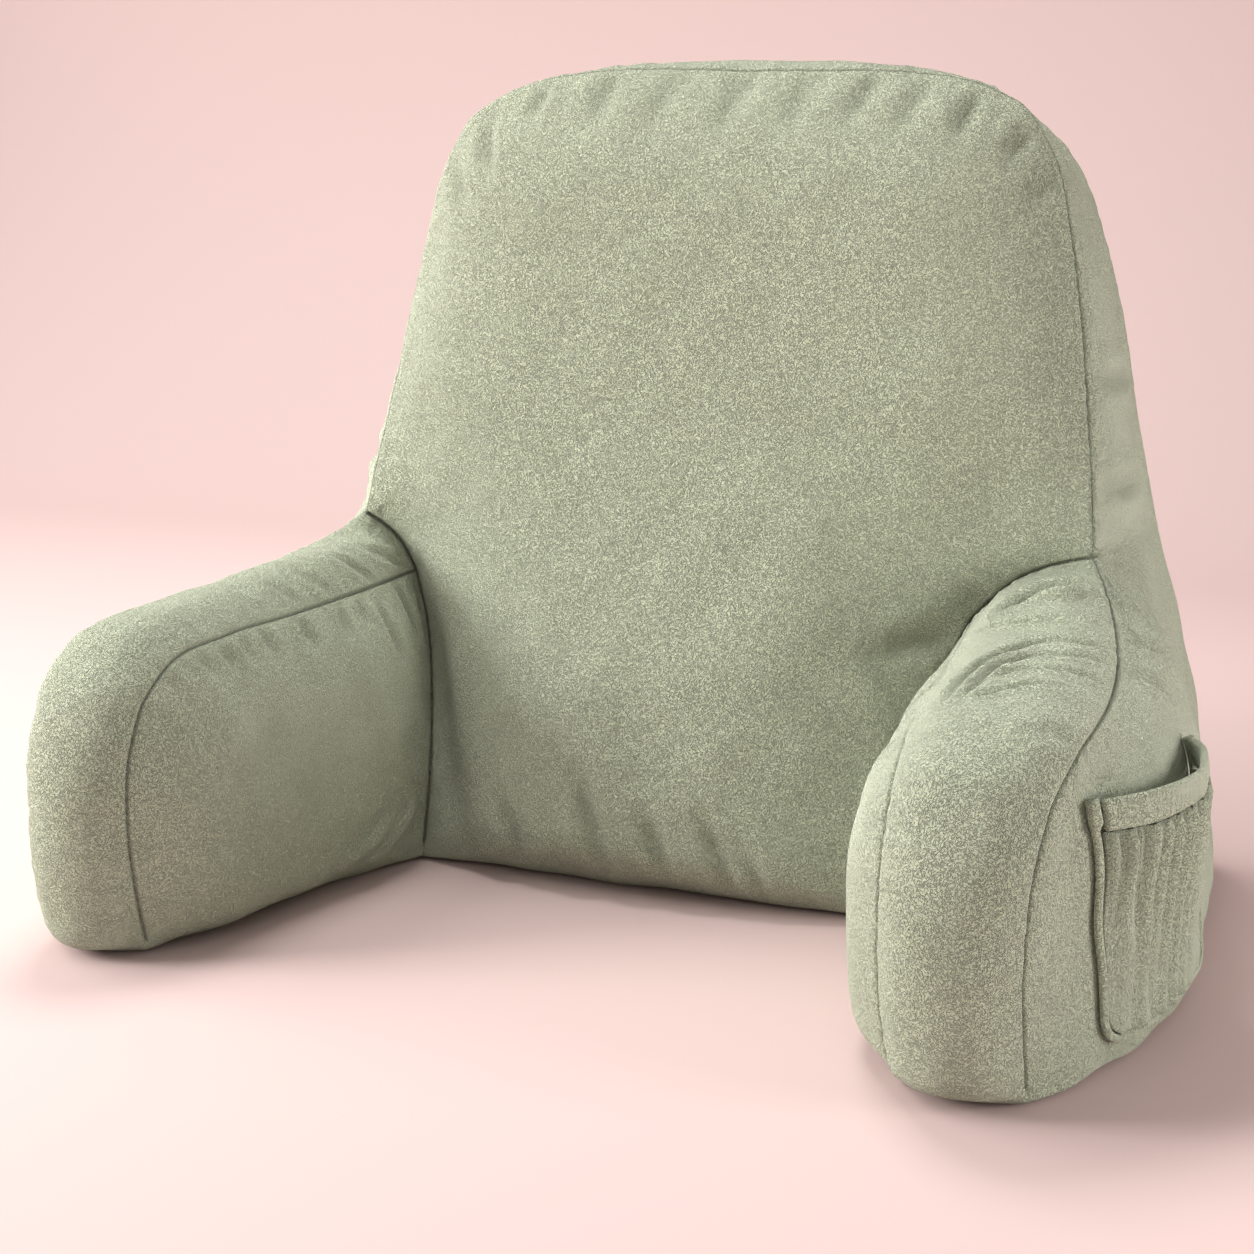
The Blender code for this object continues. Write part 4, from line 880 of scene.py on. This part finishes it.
class ArmSide:
    """The arm's outer side as a surface over y and z, which the pocket's pieces stand off from."""

    def __init__(self, points, quads):
        self.tree = surface_tree(points, quads)

    def across(self, y, z):
        """The surface's x at one y and z."""
        return self.tree.ray_cast((1.0, y, z), (-1.0, 0.0, 0.0))[0].x

    def place(self, y, z, off, upright=0.0):
        """The point that stands off from the surface at y and z, or straight up from its fullest height."""
        half = SURFACE_SPAN
        slope_y = (self.across(y + half, z) - self.across(y - half, z)) / (2 * half)
        slope_z = (self.across(y, z + half) - self.across(y, z - half)) / (2 * half)
        x = (self.across(y + half, z) + self.across(y - half, z) + 2 * self.across(y, z)) / 4
        x = max(x, self.across(y, z))
        if upright and z > STRAIGHT_Z:
            share = upright * min((z - STRAIGHT_Z) / STRAIGHT_BLEND, 1)
            x += share * max(self.across(y, STRAIGHT_Z) - x, 0)
            slope_z *= 1 - share
        return np.array([x, y, z]) + unit(np.array([1.0, -slope_y, -slope_z])) * off


def pocket_y(across, z):
    """y at a share of the pocket's width, at one height."""
    front = POCKET_FRONT_Y + POCKET_LEAN * (POCKET_MOUTH_Z - z) / (POCKET_MOUTH_Z - POCKET_FLOOR_Z)
    return front + (POCKET_REAR_Y - front) * across


def mouth_z(across):
    """The mouth's height at a share of the pocket's width."""
    return POCKET_MOUTH_Z - POCKET_DROP * across**2


def belly(across):
    """0 at the pocket's sewn sides and 1 in its middle."""
    return math.sin(math.pi * min(max(across, 0), 1)) ** BELLY_POWER


def pocket_off(across, up):
    """How far the pocket's inner face stands off the arm."""
    return STAND_OFF + POCKET_SWELL * belly(across) * min(max(up, 0), 1) ** SWELL_POWER


def crest(across, away, row):
    """One gather's height at a share of the width and at a share of the height away from its sewn end."""
    centre, half_width, depth, reach, run_out = row
    sideways = (across - centre - run_out * away) * (POCKET_REAR_Y - POCKET_FRONT_Y)
    wide = GATHER_WIDE * half_width * (1 + away / reach)
    return depth * math.exp(-((sideways / wide) ** 2) - (away / reach) ** 2)


def gather(across, up):
    """How far the gathers push the cloth out at a share of the width and height."""
    below = max(GATHER_TOP - up, 0)
    tucked = GATHER_TUCKED + (1 - GATHER_TUCKED) * min(below / GATHER_TUCK, 1)
    hung = max(crest(across, below, row) for row in GATHERS) * tucked
    return hung + sum(crest(across, max(up, 0), row) for row in LOW_GATHERS)


def tube(rings):
    """(points, quads) of a closed body through rings of points, with its two ends filled."""
    count = len(rings[0])
    points = np.concatenate(rings)
    first = tuple(range(count))
    last = tuple(range(len(points) - count, len(points)))
    return points, ring_quads(len(rings), count) + [first[::-1], last]


def pocket_panel(arm):
    """The gathered cloth, as one sheet with both its faces, and the painted shade at each point between the
    gathers.
    """
    side_inset = BINDING_HALF_WIDTH + GAP
    corner = POCKET_CORNER - side_inset
    high = POCKET_MOUTH_Z - POCKET_FLOOR_Z
    width = POCKET_REAR_Y - POCKET_FRONT_Y
    inset = side_inset / width
    faces = ([], [])
    shades = []
    for share in np.arange(STEPS_POCKET_WIDE + 1) / STEPS_POCKET_WIDE:
        across = inset + share * (1 - 2 * inset)
        from_end = min(share, 1 - share) * (width - 2 * side_inset)
        short = max(0.0, corner - from_end)
        low = POCKET_FLOOR_Z + POCKET_CORNER - math.sqrt(corner**2 - short**2)
        top = mouth_z(share) - BAND_HIGH - 2 * GAP
        for z in low + (top - low) * np.arange(STEPS_POCKET_HIGH + 1) / STEPS_POCKET_HIGH:
            up = (z - POCKET_FLOOR_Z) / high
            pushed = gather(across, up)
            off = pocket_off(across, up) + pushed
            for face, more in zip(faces, (0.0, CLOTH_THICK)):
                face.append(arm.place(pocket_y(across, z), z, off + more, belly(across)))
            # painted shade in the valleys between the gathers, fading out below them
            valley = 1 - min(pushed / GATHER_FULL, 1)
            fade = math.exp(-((max(GATHER_TOP - up, 0) / GATHER_SHADE_REACH) ** 2))
            shades.append(GATHER_SHADE * valley * fade)
    count = len(shades)
    number = np.arange(count).reshape(STEPS_POCKET_WIDE + 1, -1)
    cells = grid_quads(number.T)
    quads = [cell[::-1] for cell in cells] + [tuple(count + n for n in cell) for cell in cells]
    loop = list(closed_loop([number[:, 0], number[-1], number[::-1, -1], number[0, ::-1]]))
    for start, end in zip(loop, loop[1:] + loop[:1]):
        quads.append((start, end, count + end, count + start))
    return np.array(faces[0] + faces[1]), quads, np.array(shades + shades)


def pocket_band(arm):
    """The folded band along the mouth."""
    inset = (TAB_HALF_WIDTH + GAP) / (POCKET_REAR_Y - POCKET_FRONT_Y)
    rings = []
    for i in range(STEPS_BAND + 1):
        across = inset + i / STEPS_BAND * (1 - 2 * inset)
        ring = []
        for k in range(BAND_POINTS):
            angle = -2 * math.pi * (k + 0.5) / BAND_POINTS
            thick = math.copysign(abs(math.cos(angle)) ** BAND_FLAT, math.cos(angle))
            tall = math.copysign(abs(math.sin(angle)) ** BAND_SQUARE, math.sin(angle))
            z = mouth_z(across) - BAND_HIGH / 2 + tall * BAND_HIGH / 2
            wander = BAND_WANDER * math.sin(BAND_WANDER_RATE * across)
            ripple = math.sin(2 * math.pi * BAND_PUCKER_COUNT * (across + wander))
            pucker = BAND_PUCKER * ripple * (0.5 - 0.5 * tall) * max(thick, 0)
            off = pocket_off(across, BAND_LEVEL) + BAND_THICK / 2 * (1 + thick) + pucker
            ring.append(arm.place(pocket_y(across, z), z, off, belly(across)))
        rings.append(ring)
    return tube(rings)


def straight_heights(low, mouth):
    """Heights down a straight side of the binding, with steps where it widens over the band's end."""
    band = mouth - BAND_HIGH
    closed_over = np.linspace(mouth, band + TAB_BLEND, STEPS_TAB)
    return np.concatenate([closed_over, np.linspace(band, low, STEPS_BINDING - 1)])


def binding_path():
    """The binding's middle line down the front, round the corners and up the rear, as (y, z)."""
    low = POCKET_FLOOR_Z + POCKET_CORNER
    front = [(pocket_y(0, z), z) for z in straight_heights(low, mouth_z(0))]
    rear = [(POCKET_REAR_Y, z) for z in straight_heights(low, mouth_z(1))[::-1]]
    first = pocket_y(0, low) + POCKET_CORNER
    last = POCKET_REAR_Y - POCKET_CORNER
    turn = np.linspace(0, math.pi / 2, STEPS_CORNER + 1)[1:]
    down = [(first - POCKET_CORNER * math.cos(a), low - POCKET_CORNER * math.sin(a)) for a in turn]
    rise = [(last + POCKET_CORNER * math.sin(a), low - POCKET_CORNER * math.cos(a)) for a in turn]
    bottom = [(y, POCKET_FLOOR_Z) for y in np.linspace(first, last, 2 * STEPS_BINDING + 1)[1:]]
    return np.array(front + down + bottom + rise + rear[1:])


def pocket_binding(arm):
    """The round turned edge, wider where it closes over the band's front end."""
    path = binding_path()
    way = unit(np.gradient(path, axis=0))
    rings = []
    for n, (y, z) in enumerate(path):
        inwards = np.array([-way[n, 1], way[n, 0]])
        mouth = mouth_z(float(n > len(path) / 2))
        tab = np.clip((z - (mouth - BAND_HIGH)) / TAB_BLEND, 0, 1)
        half = BINDING_HALF_WIDTH + (TAB_HALF_WIDTH - BINDING_HALF_WIDTH) * tab
        ring = []
        for k in range(BINDING_POINTS):
            angle = 2 * math.pi * (k + 0.5) / BINDING_POINTS
            step = inwards * half * math.cos(angle)
            high = BINDING_HALF_HIGH + (TAB_HALF_HIGH - BINDING_HALF_HIGH) * tab
            off = BINDING_OFF + high * (1 + math.sin(angle))
            ring.append(arm.place(y + step[0], z + step[1], off))
        rings.append(ring)
    return tube(rings)


def linked(name, data):
    """A new object in the scene."""
    obj = bpy.data.objects.new(name, data)
    bpy.context.scene.collection.objects.link(obj)
    return obj


def new_mesh(name, points, faces):
    mesh = bpy.data.meshes.new(name)
    points, faces = tuples(points, faces)
    mesh.from_pydata(points, [], faces)
    return mesh


def give(mesh, name, kind, domain, values):
    mesh.attributes.new(name, kind, domain).data.foreach_set("value", values)


def take(collection, what, kind=np.float32, width=1):
    """One value, or width values, of each item in a mesh's collection."""
    values = np.empty(len(collection) * width, kind)
    collection.foreach_get(what, values)
    return values if width == 1 else values.reshape(-1, width)


def new_object(name, points, faces, material, seam=None):
    """A smooth-shaded mesh object in the scene. seam is the painted shade at each point, 0 to 1, in the
    seams' grooves, the folds' troughs and between the gathers.
    """
    mesh = new_mesh(name, points, faces)
    mesh.shade_smooth()
    near = np.zeros(len(points)) if seam is None else seam
    give(mesh, "seam", "FLOAT", "POINT", near.astype(np.float32))
    mesh.materials.append(material)
    return linked(name, mesh)


def subdivided(points, quads, groups, sewn):
    """One smooth subdivision with the sewn edges kept: (points, quads, groups, sewn)."""
    mesh = new_mesh("fine", points, quads)
    names, index = np.unique(groups, return_inverse=True)
    give(mesh, "group", "INT", "FACE", index.astype(np.int32))
    give(mesh, "sewn", "FLOAT", "POINT", sewn.astype(np.float32))
    edges = take(mesh.edges, "vertices", np.int32, 2)
    give(mesh, "crease_edge", "FLOAT", "EDGE", sewn[edges].all(axis=1).astype(np.float32))
    obj = linked("fine", mesh)
    modifier = obj.modifiers.new("fine", "SUBSURF")
    modifier.levels = modifier.render_levels = 1
    bpy.context.view_layer.update()
    result = obj.evaluated_get(bpy.context.evaluated_depsgraph_get()).to_mesh()
    fine = take(result.vertices, "co", width=3).astype(float)
    fine_quads = take(result.loops, "vertex_index", np.int32).reshape(-1, 4).astype(int)
    fine_groups = names[take(result.attributes["group"].data, "value", np.int32)]
    fine_sewn = take(result.attributes["sewn"].data, "value") > ALL_SEWN
    bpy.data.objects.remove(obj)
    return fine, fine_quads, fine_groups, fine_sewn


def nearest_seam(points, quads, sewn):
    """For every point, how far the nearest sewn edge is and the place on it."""
    edges = edges_of(quads)
    edges = edges[sewn[edges].all(axis=1)]
    shares = np.linspace(0, 1, EDGE_PLACES + 1)[:-1, None, None]
    dense = (points[edges[:, 0]] * (1 - shares) + points[edges[:, 1]] * shares).reshape(-1, 3)
    tree = KDTree(len(dense))
    for i, p in enumerate(dense):
        tree.insert(p, i)
    tree.balance()
    found = [tree.find(p) for p in points]
    return np.array([f[2] for f in found]), dense[[f[1] for f in found]]


def noise_at(places, size, seed):
    """A smooth seeded noise of about -1 to 1 at each place, varying over the given size."""
    rng = np.random.default_rng(seed)
    ways = unit(rng.normal(size=(NOISE_WAVES, 3)))
    ways = ways * (2 * math.pi / size) * rng.uniform(*NOISE_RANGE, (NOISE_WAVES, 1))
    phase = rng.uniform(0, 2 * math.pi, NOISE_WAVES)
    return np.sin(places @ ways.T + phase).sum(axis=1) / math.sqrt(NOISE_WAVES / 2) / NOISE_PEAK


def camera_axes():
    """The camera's right, up and forward directions."""
    turn, tilt = math.radians(CAMERA_TURN), math.radians(CAMERA_TILT)
    forward = np.array([-math.sin(turn) * math.cos(tilt), math.cos(turn) * math.cos(tilt), -math.sin(tilt)])
    right = np.array([math.cos(turn), math.sin(turn), 0.0])
    return right, np.cross(right, forward), forward


def from_photo(tree, pixels):
    """A fold's line over the places on a surface that the photograph shows at these pixels."""
    right, up, forward = camera_axes()
    found = []
    for u, v, _ in along(smooth_curve([(u, v, 0) for u, v in pixels]), np.linspace(0, 1, FOLD_POINTS)):
        way = forward + right * (u - FRAME / 2) / FOCAL - up * (v - FRAME / 2) / FOCAL
        hit = tree.ray_cast(CAMERA_PLACE, tuple(way))[0]
        if hit is not None:
            found.append(tuple(hit))
    return np.array(found)


def from_places(tree, places):
    """A fold's line on the surface nearest to these places."""
    return np.array([tuple(tree.find_nearest(tuple(p))[0]) for p in smooth_curve(places)])


def fold_lift(points, quads, groups):
    """The folds and tucks, as distances along the normals."""
    lift = np.zeros(len(points))
    for table, line_on in ((FOLDS, from_photo), (HIDDEN_FOLDS, from_places)):
        for panel, folds in table.items():
            tree = surface_tree(points, quads[groups == panel])
            mates = np.char.startswith(groups, panel.split(":")[0])
            if panel.endswith(":side"):  # the arm's side and the back's are one cloth
                mates |= np.char.endswith(groups, ":side")
            member = np.unique(quads[mates])
            for places, half_width, depth in folds:
                line = line_on(tree, places)
                reach = FOLD_REACH * half_width
                low, high = line.min(axis=0) - reach, line.max(axis=0) + reach
                near = member[((points[member] > low) & (points[member] < high)).all(axis=1)]
                lift[near] += trough(points[near], line, half_width, depth * FOLD_GAIN)
    return lift


def bulge(points, quads, groups):
    """The strip's fullness behind the left arm's upper corner, as distances along the normals."""
    lift = np.zeros(len(points))
    panel, place, reach, height = CORNER_BULGE
    member = np.unique(quads[groups == panel])
    far = np.linalg.norm(points[member] - place, axis=1)
    lift[member] = height * np.exp(-((far / reach) ** 2))
    return lift


def eased(points, quads, far):
    """The skin evened out beside the corners where the arms' outer seams meet the back."""
    points = points.copy()
    for way in (1, -1):
        away = np.linalg.norm(points - np.array(CORNER_J) * (way, 1, 1), axis=1)
        ids, local = np.unique(quads[(away[quads] < EASE_REACH).all(axis=1)], return_inverse=True)
        free = (away[ids] < EASE_REACH - EASE_RIM) & (far[ids] > EASE_RIM)
        points[ids] = faired(points[ids], local.reshape(-1, 4), free, EASE_ROUNDS)
    return points


def detailed(points, quads, groups, sewn):
    """The fine skin with its seams drawn in, puckered beside them, and with its folds, and the painted shade
    in the seams' grooves and the folds' troughs.
    """
    far, foot = nearest_seam(points, quads, sewn)
    points = eased(points, quads, far)
    folds = fold_lift(points, quads, groups) * np.clip(far / FOLD_FROM_SEAM, FOLD_AT_SEAM, 1)
    # painted shade in the folds' troughs, darker the deeper the trough
    shade = np.clip(-folds / FOLD_FULL, 0, 1) * FOLD_SHADE
    lift = folds + bulge(points, quads, groups) * np.clip(far / BULGE_FROM_SEAM, 0, 1)
    lift -= SEAM_GROOVE * np.exp(-((far / SEAM_WIDTH) ** 2))
    lift += SEAM_ROLL * np.exp(-(((far - SEAM_ROLL_AT) / (SEAM_ROLL_AT / 2)) ** 2))
    wave = noise_at(foot, PUCKER_SIZE, 3) + PUCKER_FINE_SHARE * noise_at(foot, PUCKER_SIZE * PUCKER_FINE, 4)
    out = far / PUCKER_REACH
    lift += PUCKER_DEPTH * wave * out * np.exp(1 - out) * (out < PUCKER_END)
    lift += UNEVEN * noise_at(points, UNEVEN_SIZE, 5) * np.clip(far / UNEVEN_FROM_SEAM, 0, 1)
    # the painted shade is the darker of the folds' and the one along the seams' grooves
    return raised(points, quads, lift), np.maximum(shade, np.exp(-((far / SEAM_SHADE) ** 2)))


def new_material(name, look):
    """(material, shader) with these values on the shader."""
    material = bpy.data.materials.new(name)
    material.use_nodes = True
    shader = material.node_tree.nodes["Principled BSDF"]
    for socket, value in look.items():
        shader.inputs[socket].default_value = value
    return material, shader


def plush():
    """Short-pile plush: winding tufts with darker gaps between them, in patches brushed this way and that,
    darkened by the painted shade that each mesh carries.
    """
    material, shader = new_material("plush", PLUSH_LOOK)
    nodes, links = material.node_tree.nodes, material.node_tree.links

    def feed(sockets, values):
        for socket, value in zip(sockets, values):
            if isinstance(value, bpy.types.NodeSocket):
                links.new(value, socket)
            else:
                socket.default_value = value

    def maths(operation, *values, kind="ShaderNodeMath"):
        new = nodes.new(kind)
        new.operation = operation
        feed(new.inputs, values)
        return new.outputs[0]

    def clamped(value):
        value.node.use_clamp = True
        return value

    def noise(place, scale, detail, roughness):
        new = nodes.new("ShaderNodeTexNoise")
        sockets = [new.inputs[name] for name in ("Vector", "Scale", "Detail", "Roughness")]
        feed(sockets, (place, scale, detail, roughness))
        return new.outputs

    def mixed(share, first, second):
        new = nodes.new("ShaderNodeMix")
        new.data_type = "RGBA"
        colours = [socket for socket in new.inputs if socket.type == "RGBA"]
        feed([new.inputs["Factor"]] + colours, (share, first, second))
        return [socket for socket in new.outputs if socket.type == "RGBA"][0]

    place = nodes.new("ShaderNodeTexCoord").outputs["Object"]
    swirl = noise(place, *SWIRL)["Color"]
    centred = maths("SUBTRACT", swirl, (0.5, 0.5, 0.5), kind="ShaderNodeVectorMath")
    winding = maths("MULTIPLY_ADD", centred, [NAP_WARP] * 3, place, kind="ShaderNodeVectorMath")
    nap = noise(winding, *NAP)["Fac"]
    tuft = clamped(maths("MULTIPLY", maths("ABSOLUTE", maths("SUBTRACT", nap, 0.5)), TUFT_STEEP))
    hair = noise(place, *HAIR)["Fac"]
    patch = noise(place, *PATCH)["Fac"]
    height = maths("MULTIPLY_ADD", hair, HAIR_HEIGHT, tuft)
    tone = maths("MULTIPLY_ADD", tuft, TUFT_TONE, maths("MULTIPLY", hair, HAIR_TONE))
    tone = clamped(maths("ADD", tone, maths("MULTIPLY", maths("SUBTRACT", patch, 0.5), PATCH_TONE)))
    pile = mixed(tone, (*PILE_DARK, 1), (*PILE_LIGHT, 1))
    # Painted shade: the seam attribute darkens the pile in the seams' grooves, the folds' troughs and between
    # the pocket's gathers.
    seam = nodes.new("ShaderNodeAttribute")
    seam.attribute_name = "seam"
    links.new(mixed(seam.outputs["Fac"], pile, (*PAINTED_SHADE_COLOUR, 1)), shader.inputs["Base Color"])
    bump = nodes.new("ShaderNodeBump")
    bump.inputs["Distance"].default_value = NAP_BUMP
    links.new(height, bump.inputs["Height"])
    links.new(bump.outputs[0], shader.inputs["Normal"])
    return material


def add_camera():
    right, up, forward = camera_axes()
    data = bpy.data.cameras.new("camera")
    data.sensor_width = SENSOR
    data.lens = FOCAL * SENSOR / FRAME
    camera = linked("camera", data)
    turn = Matrix((Vector(right), Vector(up), Vector(-forward))).transposed()
    camera.matrix_world = Matrix.Translation(CAMERA_PLACE) @ turn.to_4x4()
    bpy.context.scene.camera = camera


def add_light(name, place, target, size, power, colour):
    data = bpy.data.lights.new(name, "AREA")
    data.size = size
    data.energy = power
    data.color = colour
    turn = (Vector(target) - Vector(place)).to_track_quat("-Z", "Y")
    linked(name, data).matrix_world = Matrix.Translation(place) @ turn.to_matrix().to_4x4()


def add_backdrop():
    """A floor that runs up into the wall behind in one smooth curve."""
    turn = np.linspace(0, math.pi / 2, CURVE_STEPS + 1)
    curve = [(CURVE_FROM + CURVE_RADIUS * math.sin(a), CURVE_RADIUS * (1 - math.cos(a))) for a in turn]
    profile = [(FLOOR_NEAR, 0.0)] + curve + [(CURVE_FROM + CURVE_RADIUS, WALL_TOP)]
    points = [(x, y, z) for y, z in profile for x in (-BACKDROP_HALF, BACKDROP_HALF)]
    faces = grid_quads(np.arange(len(points)).reshape(-1, 2))
    new_object("backdrop", points, faces, new_material("backdrop", FLOOR_LOOK)[0])


def add_world():
    world = bpy.data.worlds.new("world")
    world.use_nodes = True
    bpy.context.scene.world = world
    background = world.node_tree.nodes["Background"]
    background.inputs["Color"].default_value = WORLD_COLOUR
    background.inputs["Strength"].default_value = WORLD_STRENGTH


def main():
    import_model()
    cloth = plush()

    lines = {side: seam_lines(side) for side in ("right", "left")}
    points, quads, groups, sewn = subdivided(*pillow_skin(lines))
    # seam holds the painted shade in the seams' grooves and the folds' troughs
    points, seam = detailed(points, quads, groups, sewn)
    body = new_object("plush_body", points, quads, cloth, seam)
    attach(body, "root")
    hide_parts("backrest", "arm_left", "arm_right")

    arm = ArmSide(points, quads[np.isin(groups, ("arm_right:side", "backrest:side"))])
    for name, make, node in (
        ("pocket_cloth", pocket_panel, "pocket_panel"),
        ("pocket_hem", pocket_band, "pocket_band"),
        ("pocket_edge", pocket_binding, "pocket_binding"),
    ):
        # the pocket's cloth brings painted shade between its gathers; its band and edge bring none
        points, quads, *shade = make(arm)
        piece = new_object(name, points, quads, cloth, *shade)
        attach(piece, "root")
        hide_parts(node)

    add_backdrop()
    add_world()
    for name, values in LIGHTS.items():
        add_light(name, *values)
    add_camera()
    bpy.context.scene.view_settings.view_transform = "Standard"


main()
